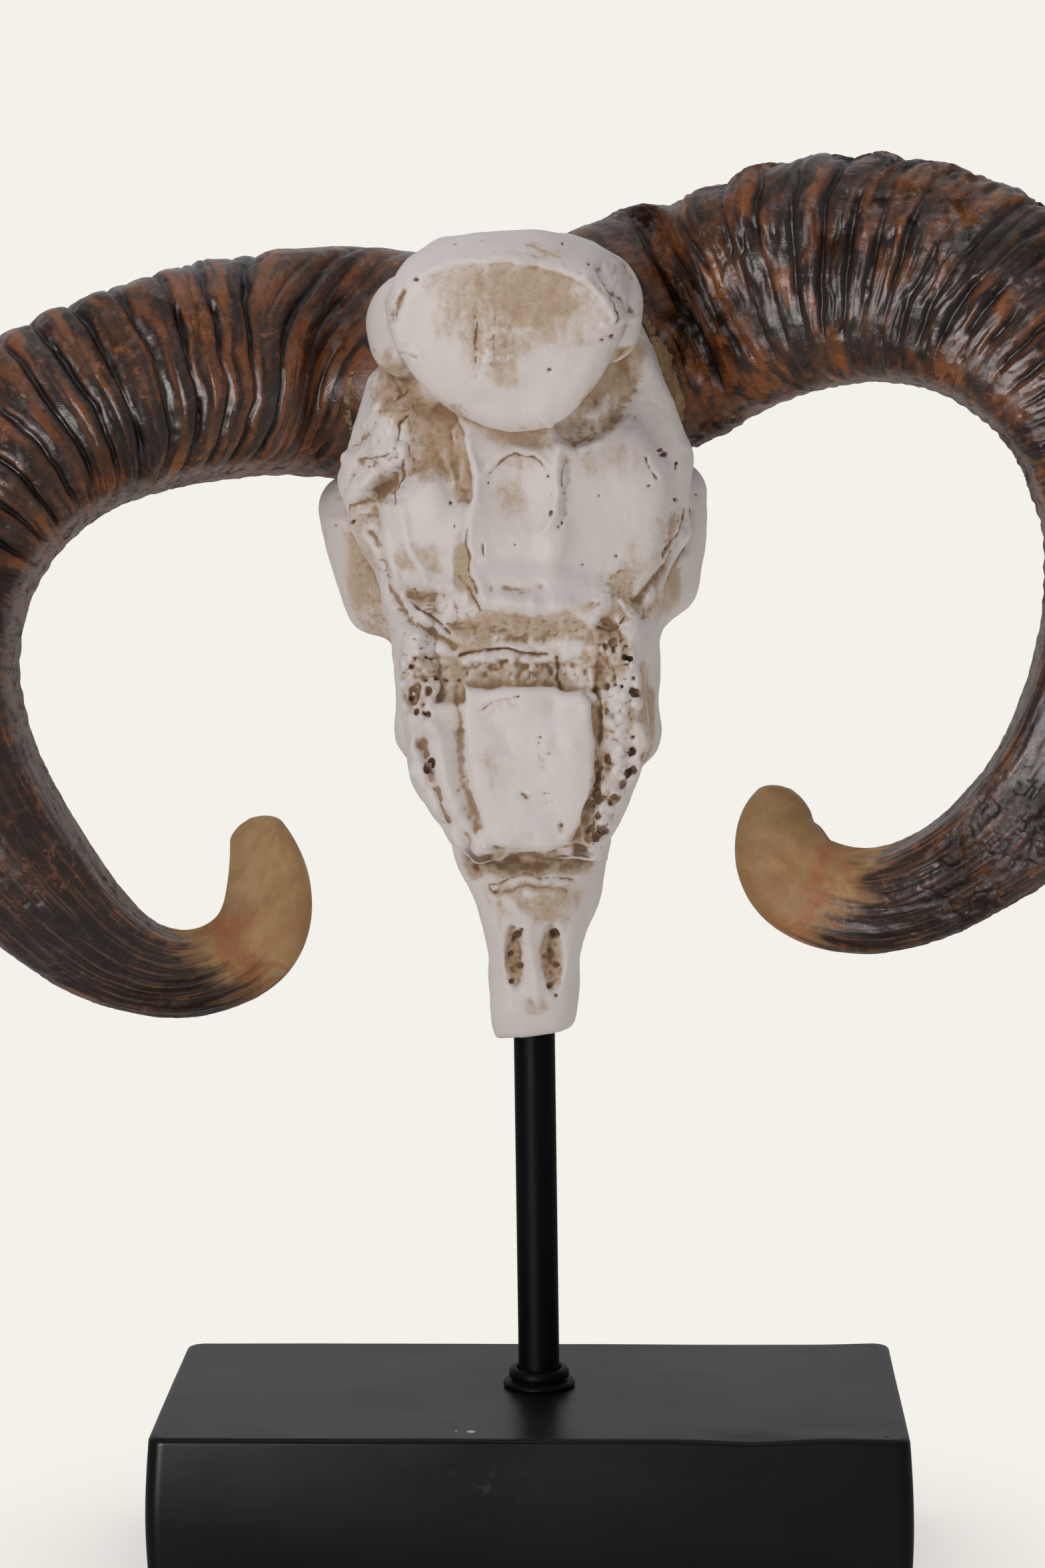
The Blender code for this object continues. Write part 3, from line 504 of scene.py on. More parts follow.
def ridge_distance(points, start, end, first, last):
    start, end = np.array(start, np.float32), np.array(end, np.float32)
    line = end - start
    share = np.clip((points - start) @ line / (line @ line), 0, 1)
    gap = points - start - share[:, None] * line
    return np.sqrt((gap**2).sum(1)) - (first + (last - first) * share)


def outline_distance(across, height, corners):
    """Signed distance in the plane to a closed outline, negative inside it."""
    best = np.full(len(across), 1e9, np.float32)
    inside = np.zeros(len(across), bool)
    for index, (x0, z0) in enumerate(corners):
        x1, z1 = corners[(index + 1) % len(corners)]
        dx, dz = x1 - x0, z1 - z0
        px, pz = across - x0, height - z0
        share = np.clip((px * dx + pz * dz) / (dx * dx + dz * dz), 0, 1)
        best = np.minimum(best, (px - share * dx) ** 2 + (pz - share * dz) ** 2)
        if dz:
            inside ^= ((z0 > height) != (z1 > height)) & (px < dx * pz / dz)
    return np.where(inside, -1, 1) * np.sqrt(best)


def slab_distance(points, corners, front, lean, edge):
    """A flat-fronted block with this outline, seen from the palate side."""
    flat = outline_distance(points[:, 0], points[:, 2], corners)
    back = lean * np.maximum(np.abs(points[:, 0]) - FLAT_REACH, 0)
    return blend_common(flat, front + back - points[:, 1], edge)


def station_table():
    """The stations' values at every half millimetre of height, joined by smooth curves."""
    keys = np.array(SKULL_STATIONS)
    heights = np.arange(GRID_LOW[2], GRID_HIGH[2], 0.5)
    i = np.clip(np.searchsorted(keys[:, 0], heights) - 1, 0, len(keys) - 2)
    width = keys[i + 1, 0] - keys[i, 0]
    t = np.clip((heights - keys[i, 0]) / width, 0, 1)
    rows = [heights]
    for column in keys.T[1:]:
        slopes = np.gradient(column, keys[:, 0])
        start = column[i] * (2 * t**3 - 3 * t**2 + 1) + slopes[i] * width * (t**3 - 2 * t**2 + t)
        rows.append(start + column[i + 1] * (3 * t**2 - 2 * t**3) + slopes[i + 1] * width * (t**3 - t**2))
    return rows


STATION_TABLE = station_table()


def main_form(points):
    """The skull's body without its masses and hollows, cut off at a slant below the muzzle."""
    x, y, z = points.T
    heights = STATION_TABLE[0]
    left, right, palate, face, power = (np.interp(z, heights, row) for row in STATION_TABLE[1:])
    half = np.where(x > 0, right, left)
    depth = (face - palate) / 2
    across = np.abs(x) / half + 1e-4
    through = np.abs(y - (face + palate) / 2) / depth + 1e-4
    reach = (across**power + through**power) ** (1 / power)
    slope = np.hypot((across / reach) ** (power - 1) / half, (through / reach) ** (power - 1) / depth)
    ends = np.maximum(MUZZLE_END + MUZZLE_SLANT * x - z, z - SKULL_STATIONS[-1][0])
    return blend_common((reach - 1) / slope, ends, END_BLEND)


def boss_reach(across, up):
    """The boss's radius in this direction, from its outline with its corners softened."""
    angles, radii = np.array(BOSS_OUTLINE, float).T
    fine = np.arange(-30, 391, 3.0)
    rough = np.interp(fine, angles, radii, period=360)
    for _ in range(3):
        rough[1:-1] = (rough[:-2] + 2 * rough[1:-1] + rough[2:]) / 4
    return np.interp(np.degrees(np.arctan2(up, across)) % 360, fine, rough)


def boss_distance(points):
    """The boss: a domed disc that leans back, with a flared upper edge and a flattened top."""
    across, away_y, away_z = (points - BOSS_CENTRE).T
    cosine, sine = math.cos(BOSS_TILT), math.sin(BOSS_TILT)
    up = away_z * cosine - away_y * sine
    behind = away_y * cosine + away_z * sine
    radius = np.hypot(across, up)
    reach = boss_reach(across, up)
    top = eased(up, -6, 22)
    flare = np.sin(np.clip(behind / BOSS_FLARE_LENGTH, 0, 1) * math.pi / 2)
    side = (radius - reach - BOSS_FLARE * top * flare - 0.03 * behind) * 0.96
    dome = 2.6 * (radius / reach) ** 2 - 1.0
    body = blend_common(side, dome - behind, 8.0 - 5.0 * top)
    off = points[:, 0] - 1.0
    top_line = BOSS_TOP - 0.0085 * off**2 - 0.0008 * np.clip(-off - 18, 0, 20) ** 3
    return np.maximum(blend_common(body, points[:, 2] - top_line, 3.0), behind - BOSS_DEPTH)


def tooth_lumps():
    """Swellings, knobs and pits of both tooth rows, as (centre, radii, blend) lists."""
    draw = np.random.default_rng(TOOTH_SEED)
    lumps, pits = [], []
    for row, side in ((TOOTH_ROW_LEFT, -1), (TOOTH_ROW_RIGHT, 1)):
        places = np.array(row, float)
        runs = np.linalg.norm(np.diff(places[:, :2], axis=0), axis=1)
        travelled = np.concatenate([[0.0], np.cumsum(runs)])
        for share in np.linspace(0, 1, SWELLINGS):
            x, z, size = (np.interp(share * travelled[-1], travelled, column) for column in places.T)
            lumps.append(((x, SWELLING_FRONT, z), (size * 0.94, 10.8, size * 1.7), 4.5))
        for share in np.linspace(0.0, 0.99, KNOBS):
            share = share + draw.uniform(-0.01, 0.01)
            x, z, size = (np.interp(share * travelled[-1], travelled, column) for column in places.T)
            rough = 1.0 if side > 0 or share < 0.32 else 0.15
            x += draw.uniform(-0.75, 0.65) * size
            knob = draw.uniform(1.1, 2.9)
            if draw.uniform() < 0.35 + rough:
                front = KNOB_FRONT - 0.8 * rough
                lumps.append(((x, front, z), (knob, 1.0 + 1.3 * rough, knob * 1.2), 1.8))
            x += draw.uniform(-0.6, 0.6) * size
            z += draw.uniform(-2.5, 2.5)
            pit = draw.uniform(0.6, 1.7)
            if draw.uniform() < rough * 0.45:
                pits.append(((x, PIT_FRONT, z), (pit, 2.8, pit * 1.2), 0.8))
    return lumps, pits


TOOTH_LUMPS, TOOTH_PITS = tooth_lumps()

# Holes along the tooth rows that the photo shows: centre, radii, blend. JAW_DEPTH scales their depth.
JAW_HOLES = (
    ((-34.4, -29, 119), (2.2, 2.6, 3.4), 1.4), ((-26.5, -31, 131), (3.8, 3.4, 2.0), 1.0),
    ((27.5, -31, 121), (3.0, 4.4, 3.2), 1.0), ((25.9, -31, 110), (1.7, 4.2, 9.0), 0.9),
    ((25.2, -31, 94), (1.5, 4.2, 7.5), 0.9), ((21.5, -31, 77), (1.5, 4.0, 8.5), 0.9),
    ((37.4, -28.5, 118), (2.7, 4.4, 3.3), 0.8), ((36.8, -29, 128.5), (1.8, 3.6, 2.2), 0.7),
    ((31.5, -31, 134), (1.5, 3.2, 1.6), 0.7), ((31.6, -31, 102.3), (1.8, 3.0, 1.6), 0.7),
    ((36.3, -30, 98.5), (1.9, 3.2, 1.9), 0.8), ((34.8, -29.5, 91.5), (1.6, 3.2, 2.0), 0.8),
    ((30.0, -31, 83), (1.5, 3.0, 2.0), 0.7), ((25.8, -30.5, 73), (1.4, 3.0, 1.8), 0.7),
)
JAW_DEPTH = 0.62
JAW_CUTS = [(place, (x, JAW_DEPTH * y, z), blend) for place, (x, y, z), blend in JAW_HOLES]


def local(points, centre, radii, blend):
    """The points close enough to a mass for it to matter."""
    reach = np.array(radii) + blend + 2.0
    near = np.abs(points - np.array(centre, np.float32)) < reach
    return np.flatnonzero(near.all(1))


def apply_masses(points, field, masses, join):
    for centre, radii, blend in masses:
        near = local(points, centre, radii, blend)
        if len(near):
            field[near] = join(field[near], ellipsoid_distance(points[near], centre, radii), blend)


def skull_field(points):
    """Distance from the skull's surface, negative inside."""
    points = points.astype(np.float32)
    wobble = np.stack([value_noise(points, HAND_WOBBLE_LENGTH, seed) for seed in (91, 92, 93)], axis=1)
    points = points + HAND_WOBBLE * wobble
    field = main_form(points).astype(np.float32)
    apply_masses(points, field, MASSES.values(), blend_union)
    for start, end, first, last, blend in RIDGES.values():
        middle = (np.array(start) + np.array(end)) / 2
        radii = np.abs(np.array(end) - np.array(start)) / 2 + max(first, last)
        near = local(points, middle, radii, blend)
        if len(near):
            ridge = ridge_distance(points[near], start, end, first, last)
            field[near] = blend_union(field[near], ridge, blend)
    front = np.flatnonzero((points[:, 1] < 5) & (points[:, 2] > 50))
    if len(front):
        for *shape, blend in SLABS.values():
            field[front] = blend_union(field[front], slab_distance(points[front], *shape), blend)
    apply_masses(points, field, HOLLOWS.values(), blend_cut)
    high = np.flatnonzero(points[:, 2] > 190)
    if len(high):
        field[high] = blend_union(field[high], boss_distance(points[high]), BOSS_BLEND)
    apply_masses(points, field, TOOTH_LUMPS, blend_union)
    plug = np.flatnonzero((points[:, 1] < -20) & (np.abs(points[:, 2] - 94) < 36))
    if len(plug):
        slab = slab_distance(points[plug], PLUG_OUTLINE, PLUG_FRONT, 0, PLUG_EDGE)
        field[plug] = blend_union(field[plug], slab, PLUG_BLEND)
    apply_masses(points, field, TOOTH_PITS, blend_cut)
    apply_masses(points, field, JAW_CUTS, blend_cut)
    return field


def field_on_grid():
    """The skull's field on a grid. Only blocks near the surface get their exact values."""
    size = np.ceil((GRID_HIGH - GRID_LOW) / (GRID_STEP * BLOCK)).astype(int)
    middles = [GRID_LOW[n] + (np.arange(size[n]) + 0.5) * BLOCK * GRID_STEP for n in range(3)]
    centres = np.stack(np.meshgrid(*middles, indexing="ij"), axis=-1).reshape(-1, 3)
    rough = skull_field(centres)
    values = np.empty(size * BLOCK, np.float32)
    view = values.reshape(size[0], BLOCK, size[1], BLOCK, size[2], BLOCK)
    view[:] = rough.reshape(size)[:, None, :, None, :, None]
    near = np.abs(rough) < BLOCK * GRID_STEP * HALF_DIAGONAL * FIELD_SLACK + FIELD_MARGIN
    offsets = np.array(list(np.ndindex(BLOCK, BLOCK, BLOCK))) * GRID_STEP
    blocks = np.array(np.unravel_index(np.flatnonzero(near), size))
    for first in range(0, blocks.shape[1], BLOCKS_AT_ONCE):
        part = blocks[:, first : first + BLOCKS_AT_ONCE]
        start = part.T * BLOCK * GRID_STEP + GRID_LOW
        points = (start[:, None, :] + offsets[None]).reshape(-1, 3)
        view[part[0], :, part[1], :, part[2], :] = skull_field(points).reshape(-1, BLOCK, BLOCK, BLOCK)
    return values


def field_slope(points, reach=0.35):
    """The field's direction of steepest rise."""
    slope = np.empty_like(points)
    for axis in range(3):
        shift = np.zeros(3)
        shift[axis] = reach
        slope[:, axis] = (skull_field(points + shift) - skull_field(points - shift)) / (2 * reach)
    return slope


def openness(points):
    """How hollow the surface is round each point, at three sizes: above 0 in hollows."""
    step = 1.5
    shape = np.ceil((GRID_HIGH - GRID_LOW) / step).astype(int)
    axes = [GRID_LOW[n] + np.arange(shape[n]) * step for n in range(3)]
    filled = np.empty(shape, np.float32)
    for index, x in enumerate(axes[0]):
        sheet = np.stack(np.meshgrid([x], axes[1], axes[2], indexing="ij"), axis=-1).reshape(-1, 3)
        filled[index] = np.clip(0.5 - skull_field(sheet) / step, 0, 1).reshape(shape[1:])
    results = []
    for size in (2.5, 6.0, 12.0):
        soft = filled
        for _ in range(2):
            for axis in range(3):
                soft = box_blur(soft, axis, max(1, round(size / step)))
        results.append(sampled(soft, (points - GRID_LOW) / step) - 0.5)
    return results


def box_blur(values, axis, width):
    """Running means along one axis, over this many values to each side."""
    edges = [(0, 0)] * 3
    edges[axis] = (width + 1, width)
    total = np.cumsum(np.pad(values, edges), axis=axis)
    count = values.shape[axis]
    window = 2 * width + 1
    high = np.take(total, np.arange(window, window + count), axis)
    return (high - np.take(total, np.arange(count), axis)) / window


def sampled(values, spot):
    """Grid values between their places."""
    cell = np.clip(np.floor(spot).astype(int), 0, np.array(values.shape) - 2)
    part = np.clip(spot - cell, 0, 1)
    total = np.zeros(len(spot), np.float32)
    for offset in np.ndindex(2, 2, 2):
        weight = np.prod(np.where(offset, part, 1 - part), axis=1)
        total += weight * values[tuple((cell + offset).T)]
    return total


# Marks on the palate side, placed in the photo's pixels


def line_distance(places, line):
    """Distance from each place to a line of joined points."""
    best = np.full(len(places), 1e9, np.float32)
    line = np.reshape(line, (-1, 2)).astype(float)
    for start, end in zip(line[:-1], line[1:]):
        way = end - start
        length = max(way @ way, 1e-6)
        share = np.clip((places - start) @ way / length, 0, 1)
        gap = places - start - share[:, None] * way
        best = np.minimum(best, (gap**2).sum(1))
    return np.sqrt(best)


# Cracks and grooves: half width in pixels, depth in mm, how dark the wash is, then the line's x and y. On
# the broad line under the plug's edge, that darkness is painted shadow.
CRACKS = (
    (1.6, 0.5, 0.9, 713, 458, 714, 500, 713, 540, 714, 573),
    (1.4, 0.3, 0.5, 741, 472, 740, 510, 742, 550),
    (3.0, 0.9, 0.8, 600, 527, 610, 529, 622, 533),
    (2.0, 0.5, 0.4, 584, 474, 590, 478),
    (2.4, 0.4, 0.35, 792, 370, 815, 374, 836, 383, 852, 396),
    (2.4, 0.5, 0.4, 873, 409, 890, 420, 904, 437, 909, 446),
    (2.2, 1.1, 1.0, 915, 439, 925, 452, 927, 468, 922, 484),
    (2.2, 1.2, 1.0, 612, 626, 603, 635, 597, 646, 595, 660, 595, 671),
    (2.2, 0.8, 0.8, 540, 692, 552, 690, 564, 686, 576, 682, 585, 677),
    (2.2, 1.0, 0.9, 607, 689, 606, 703, 604, 716, 596, 730, 591, 741),
    (2.0, 0.7, 0.7, 591, 741, 595, 755),
    (2.0, 0.8, 0.8, 590, 571, 600, 587, 594, 600, 610, 585),
    (2.2, 0.9, 0.8, 562, 806, 570, 820, 577, 837),
    (2.2, 1.2, 1.0, 618, 905, 632, 916, 646, 921, 655, 930, 676, 950),
    (2.5, 0.8, 0.7, 690, 862, 699, 875, 709, 893, 722, 916),
    (3.2, 0.7, 0.7, 733, 709, 752, 690, 774, 679, 800, 683, 819, 702),
    (3.4, 1.0, 0.7, 702, 790, 700, 815, 706, 850, 716, 890),
    (1.7, 0.7, 0.8, 726, 816, 729, 832),
    (1.7, 0.8, 0.9, 848, 696, 844, 712, 845, 728),
    (2.2, 1.2, 1.0, 969, 687, 975, 703, 984, 717),
    (2.4, 1.1, 0.9, 939, 924, 928, 938, 912, 948, 898, 941),
    (3.0, 1.0, 0.8, 1030, 770, 1022, 795, 1008, 818, 996, 834),
    (2.6, 1.6, 1.0, 692, 981, 712, 977, 740, 973, 760, 971, 782, 979, 820, 982),
    (2.4, 1.5, 1.0, 833, 986, 837, 1002, 835, 1018, 843, 1030),
    (2.2, 0.6, 0.7, 792, 994, 792, 1020),
    (4.0, 1.2, 1.0, 893, 1034, 899, 1060, 902, 1090, 898, 1114),
    (3.2, 1.3, 1.0, 901, 1150, 898, 1175, 893, 1199, 888, 1235, 880, 1245),
    (4.5, 0.6, 0.35, 684, 1030, 686, 1060, 690, 1098),
    (4.0, 0.4, 0.3, 688, 1186, 697, 1212, 710, 1243, 724, 1266),
    (2.2, 0.35, 0.5, 720, 1072, 735, 1056, 752, 1049, 776, 1044),
    (2.0, 0.2, 0.45, 733, 1122, 737, 1150, 740, 1178),
    (1.8, 0.2, 0.4, 807, 1125, 810, 1166),
    (1.6, 0.6, 0.8, 817, 1188, 835, 1189),
    (1.5, 0.4, 0.6, 819, 1203, 832, 1198),
    (2.2, 0.8, 0.8, 786, 1190, 792, 1196),
    # This broad line under the plug's overhanging edge is a shallow step, darkened as painted shadow.
    (20, 1.0, 1.0, 712, 1290, 760, 1296, 800, 1294, 840, 1290, 870, 1283),
    (2.0, 0.7, 0.5, 734, 1327, 757, 1322, 778, 1314, 821, 1316, 856, 1321),
    (1.8, 0.7, 0.6, 728, 1320, 732, 1333, 741, 1342),
)

# Soft folds: half width in pixels, height in mm (below 0 for a valley), then the line's x and y
FOLDS = (
    (8, 1.35, 516, 686, 560, 680, 602, 669, 612, 694),
    (9, -1.0, 553, 775, 580, 735, 602, 703),
    (6, -0.9, 509, 745, 530, 706, 556, 680),
    (13, 1.35, 506, 782, 536, 790),
    (9, -1.35, 585, 600, 560, 622, 540, 660),
    (8, 1.2, 596, 575, 577, 590, 548, 640),
    (9, 1.35, 697, 660, 714, 713, 702, 780, 706, 840, 728, 905),
    (9, -2.6, 655, 612, 676, 632, 693, 672, 701, 723, 700, 750),
    (8, 1.2, 826, 640, 836, 670, 838, 730, 832, 770, 818, 800),
    (9, -0.9, 850, 690, 852, 730, 850, 770),
    (7, 0.9, 726, 712, 750, 684, 778, 672, 806, 678, 824, 700),
    (12, 1.2, 968, 545, 1003, 605, 1022, 670),
    (12, -1.8, 934, 530, 950, 585, 915, 635, 862, 662),
    (7, -1.95, 1032, 765, 1024, 821, 985, 870, 960, 900),
    (15, -0.75, 668, 938, 720, 950, 784, 952, 882, 955, 920, 940),
    (15, 1.5, 745, 905, 790, 918, 830, 912),
    (15, 1.65, 850, 905, 890, 925, 912, 915),
    (8, -0.5, 762, 880, 786, 886, 808, 879),
    (10, 1.05, 756, 898, 800, 900),
    (10, 1.05, 600, 760, 612, 820, 640, 868),
    (10, 1.2, 640, 872, 660, 880, 678, 876),
    (7, -1.65, 556, 800, 572, 850, 584, 885, 602, 915),
    (7, 1.2, 574, 800, 590, 850, 604, 890),
    (8, 1.65, 612, 905, 640, 930, 672, 948, 700, 958),
    (7, -1.5, 605, 925, 640, 946, 680, 968),
    (9, 1.5, 930, 900, 950, 925, 955, 950),
    (7, -1.65, 905, 930, 925, 945, 934, 958),
    (7, -1.8, 630, 1112, 638, 1134),
    (5, -1.2, 655, 1186, 659, 1202),
    (6, 0.75, 700, 990, 740, 984, 790, 990, 826, 986),
    (16, 1.95, 634, 960, 652, 968),
    (10, 1.35, 632, 996, 640, 1006),
    (14, 1.8, 640, 1082, 652, 1092),
    (14, 0.7, 676, 1262, 706, 1280, 740, 1290),
    (9, -1.35, 690, 1100, 694, 1150, 705, 1200, 716, 1240),
    (12, 1.2, 662, 1110, 668, 1160, 684, 1215),
    (7, -1.5, 628, 1120, 642, 1150, 652, 1186, 668, 1232),
    (10, 1.5, 935, 1040, 928, 1090, 930, 1140, 915, 1180, 900, 1230),
    (16, -0.75, 740, 1075, 760, 1110),
    (14, -0.68, 830, 1060, 838, 1120),
    (18, -0.6, 770, 1225, 830, 1215),
    (16, -0.75, 690, 600, 730, 612),
    (9, 1.05, 590, 490, 600, 512, 596, 540),
    (6, 1.2, 880, 414, 905, 440, 922, 478),
    (6, 1.05, 632, 411, 690, 391, 765, 387, 838, 399, 880, 418),
    (9, 1.05, 760, 1345, 790, 1380, 800, 1440, 806, 1500),
    (6, -1.8, 901, 402, 918, 432, 934, 445, 947, 468),
    (7, 1.4, 911, 490, 930, 480, 950, 474),
    (8, -1.3, 944, 398, 952, 414),
    (6, -1.6, 602, 440, 592, 455, 586, 480),
    (9, 1.2, 540, 730, 570, 705, 600, 690),
    (8, -1.2, 524, 760, 556, 748, 584, 724),
    (10, 1.1, 532, 590, 524, 640, 518, 690),
    (11, 1.3, 620, 625, 655, 648, 676, 685, 684, 720),
    (7, 1.2, 836, 668, 862, 676, 905, 660, 940, 630),
    (8, 1.0, 905, 600, 890, 625),
    (14, 0.9, 770, 905, 800, 908),
    (6, -0.9, 744, 1340, 790, 1330, 850, 1335),
)

# Pinholes: place in pixels, radius in pixels, depth in mm
PINHOLES = (
    (625, 419, 4.2, 1.8), (588, 476, 3.2, 1.2), (559, 527, 2.2, 1.0), (916, 503, 4.4, 1.7),
    (822, 557, 4.0, 1.0), (681, 362, 2.6, 0.9), (846, 366, 2.6, 0.9), (726, 360, 2.0, 0.8),
    (940, 411, 2.6, 1.0), (885, 395, 2.4, 0.9), (905, 512, 2.4, 0.8), (826, 770, 5.0, 1.4),
    (838, 790, 3.4, 1.2), (844, 783, 2.8, 1.1), (824, 714, 2.4, 1.0), (826, 741, 2.4, 1.0),
    (849, 741, 2.2, 0.8), (883, 739, 2.0, 0.7), (901, 745, 2.6, 0.9), (772, 817, 2.2, 0.8),
    (874, 845, 2.4, 0.8), (927, 836, 2.8, 1.0), (732, 723, 2.2, 0.8), (675, 752, 3.6, 1.0),
    (681, 789, 2.6, 0.8), (530, 781, 4.2, 1.4), (504, 789, 3.0, 1.0), (993, 683, 5.0, 1.6),
    (973, 729, 3.0, 1.1), (988, 676, 3.6, 1.0), (1014, 752, 3.4, 1.2), (1020, 790, 2.6, 1.0),
    (1013, 694, 4.0, 1.4), (1012, 700, 3.0, 1.0), (1042, 743, 2.6, 1.0), (810, 1103, 2.2, 0.8),
    (809, 1112, 1.8, 0.7), (859, 1157, 2.0, 0.7), (779, 1043, 2.4, 0.9), (741, 1338, 2.4, 1.0),
    (711, 1303, 5.0, 1.2), (825, 1132, 3.0, 0.4), (840, 1238, 4.5, 0.3), (619, 1000, 4.6, 1.9),
    (636, 1069, 3.6, 1.6), (932, 961, 3.0, 1.5), (942, 969, 2.6, 1.3), (922, 966, 2.6, 1.3),
    (942, 995, 4.0, 1.9), (951, 1017, 3.6, 1.8), (910, 1029, 6.0, 2.4), (922, 1025, 3.6, 1.8),
    (944, 1124, 4.0, 1.6), (942, 1155, 3.6, 1.4), (930, 1197, 3.2, 1.2), (913, 1235, 3.0, 1.2),
    (891, 1264, 2.6, 1.1), (905, 1272, 2.4, 1.1), (622, 960, 2.4, 1.2), (640, 957, 2.2, 1.1),
    (651, 968, 2.0, 1.0), (633, 973, 2.2, 1.1), (780, 1396, 4.0, 1.5), (770, 1408, 3.4, 1.4),
    (827, 1404, 4.2, 1.8), (774, 1402, 7.0, 1.6), (767, 1430, 4.5, 1.2), (780, 1448, 4.5, 1.0),
    (770, 1472, 5.5, 1.2), (829, 1400, 8.0, 1.8), (823, 1424, 4.5, 1.0), (834, 1446, 5.5, 1.2),
    (825, 1477, 5.5, 1.1), (834, 1494, 3.4, 0.8), (620, 1046, 4.4, 1.6), (634, 1057, 3.4, 1.4),
    (669, 1018, 4.0, 1.5), (655, 1017, 3.2, 1.3), (640, 1020, 3.4, 1.4), (688, 1019, 3.8, 1.4),
    (701, 1010, 2.8, 1.1),
)

# Painted brown wash, and a painted shadow under the plug's edge: centre and half axes in pixels, tilt in
# degrees, strength
STAINS_AND_SHADOW = (
    (780, 455, 160, 85, 8, 0.50), (790, 438, 105, 58, 12, 0.88), (872, 505, 22, 18, 0, 0.45),
    (715, 500, 30, 66, 0, 0.62), (760, 525, 44, 54, 0, 0.62), (681, 420, 30, 20, -20, 0.28),
    (690, 500, 22, 34, 10, 0.30), (820, 378, 44, 10, 18, 0.55), (893, 425, 26, 9, 52, 0.55),
    (935, 400, 20, 14, 40, 0.30), (600, 452, 11, 28, 30, 0.85), (584, 538, 11, 20, 0, 0.60),
    (590, 560, 30, 34, 40, 0.70), (606, 612, 62, 34, 30, 1.0), (660, 640, 36, 44, 45, 0.80),
    (585, 612, 40, 24, 20, 0.45), (640, 690, 52, 36, 60, 0.65), (690, 700, 16, 58, -18, 0.85),
    (560, 735, 52, 44, 30, 0.34), (590, 760, 30, 50, 20, 0.10), (545, 880, 30, 90, -8, 0.62),
    (560, 930, 30, 60, -20, 0.50), (530, 790, 20, 40, 0, 0.55), (640, 840, 60, 26, 10, 0.42),
    (650, 910, 66, 40, 10, 0.34), (700, 860, 18, 60, -12, 0.62), (766, 735, 34, 62, 6, 0.20),
    (776, 690, 46, 16, 0, 0.42), (800, 655, 60, 22, 0, 0.45), (905, 585, 44, 46, 40, 0.46),
    (880, 655, 60, 34, -20, 0.12), (940, 560, 30, 60, 30, 0.80), (930, 690, 60, 40, -10, 0.40),
    (1000, 690, 30, 40, 0, 0.10), (975, 820, 42, 66, 15, 0.48), (945, 880, 40, 44, 20, 0.55),
    (1000, 880, 26, 60, 10, 0.66), (1015, 800, 16, 50, 15, 0.70), (880, 930, 80, 30, -6, 0.62),
    (780, 945, 90, 34, 0, 0.66), (700, 955, 60, 30, 0, 0.70), (796, 1004, 118, 34, 0, 0.52),
    (905, 980, 44, 54, 0, 0.90), (900, 1060, 22, 76, 0, 0.60), (903, 1180, 20, 80, 8, 0.65),
    (880, 1250, 24, 34, 30, 0.70), (940, 1090, 18, 60, 0, 0.50), (655, 1010, 52, 40, 0, 0.72),
    (688, 1062, 16, 52, 0, 0.30), (625, 1050, 22, 26, 0, 0.85), (700, 1220, 18, 56, -18, 0.25),
    (625, 1110, 18, 40, 0, 0.35), (650, 1200, 14, 40, -10, 0.10), (745, 1060, 34, 16, -20, 0.36),
    (736, 1150, 14, 44, -6, 0.34), (812, 1145, 10, 30, 0, 0.26), (842, 1238, 10, 12, 0, 0.42),
    # The patch at 795, 1298 is painted shadow under the plug's overhanging edge.
    (792, 1194, 8, 8, 0, 0.40), (795, 1298, 100, 22, 0, 0.95), (712, 1305, 16, 16, 0, 0.80),
    (795, 1345, 84, 40, 0, 0.52), (762, 1372, 24, 50, 0, 0.36), (838, 1374, 24, 56, 0, 0.42),
    (774, 1437, 18, 52, 4, 0.80), (828, 1440, 20, 60, -4, 0.80), (802, 1508, 24, 14, 0, 0.50),
    (850, 1420, 10, 90, -6, 0.20), (1060, 820, 12, 60, 8, 0.25), (480, 800, 14, 60, -8, 0.16),
    (612, 960, 16, 60, 0, 0.30), (968, 1080, 16, 100, 0, 0.75),
)

# Wrinkled patches, in the same form
WRINKLED = (
    (570, 690, 74, 110, 15, 0.9), (650, 920, 74, 44, 12, 1.0), (935, 900, 70, 64, 0, 0.7),
    (640, 1000, 46, 60, 0, 0.9), (930, 1010, 34, 90, 0, 0.9), (780, 950, 120, 26, 0, 0.8),
    (930, 1150, 30, 110, 6, 0.8), (930, 420, 50, 70, 20, 0.6), (560, 870, 36, 90, -10, 0.6),
    (1015, 820, 26, 80, 8, 0.6), (960, 600, 60, 60, 0, 0.4), (660, 1200, 24, 90, -16, 0.4),
    (590, 600, 60, 40, 20, 0.7), (760, 1330, 80, 30, 0, 0.4),
)

# Granular patches, in the same form
ROUGH_PATCHES = (
    (740, 515, 42, 52, 0, 0.6), (880, 660, 62, 26, -24, 0.6), (900, 610, 40, 30, 0, 0.5),
    (796, 1004, 116, 28, 0, 1.0), (905, 1000, 34, 70, 0, 0.9), (905, 1170, 26, 90, 8, 0.8),
    (774, 1437, 14, 46, 4, 1.0), (828, 1440, 15, 52, -4, 1.0), (790, 950, 110, 24, 0, 0.45),
    (645, 1010, 46, 52, 0, 0.7), (938, 1080, 24, 120, 0, 0.6), (560, 560, 26, 36, 0, 0.4),
    (600, 700, 60, 60, 20, 0.3), (885, 1290, 30, 10, 0, 0.6), (560, 900, 26, 70, 0, 0.25),
)

# Unevenness of the hand-made surface: height in mm, size of its lumps in mm, seed, layers
HAND_LUMPS = ((0.8, 27, 3, 2), (0.45, 12.0, 9, 4), (0.14, 3.6, 13, 2))


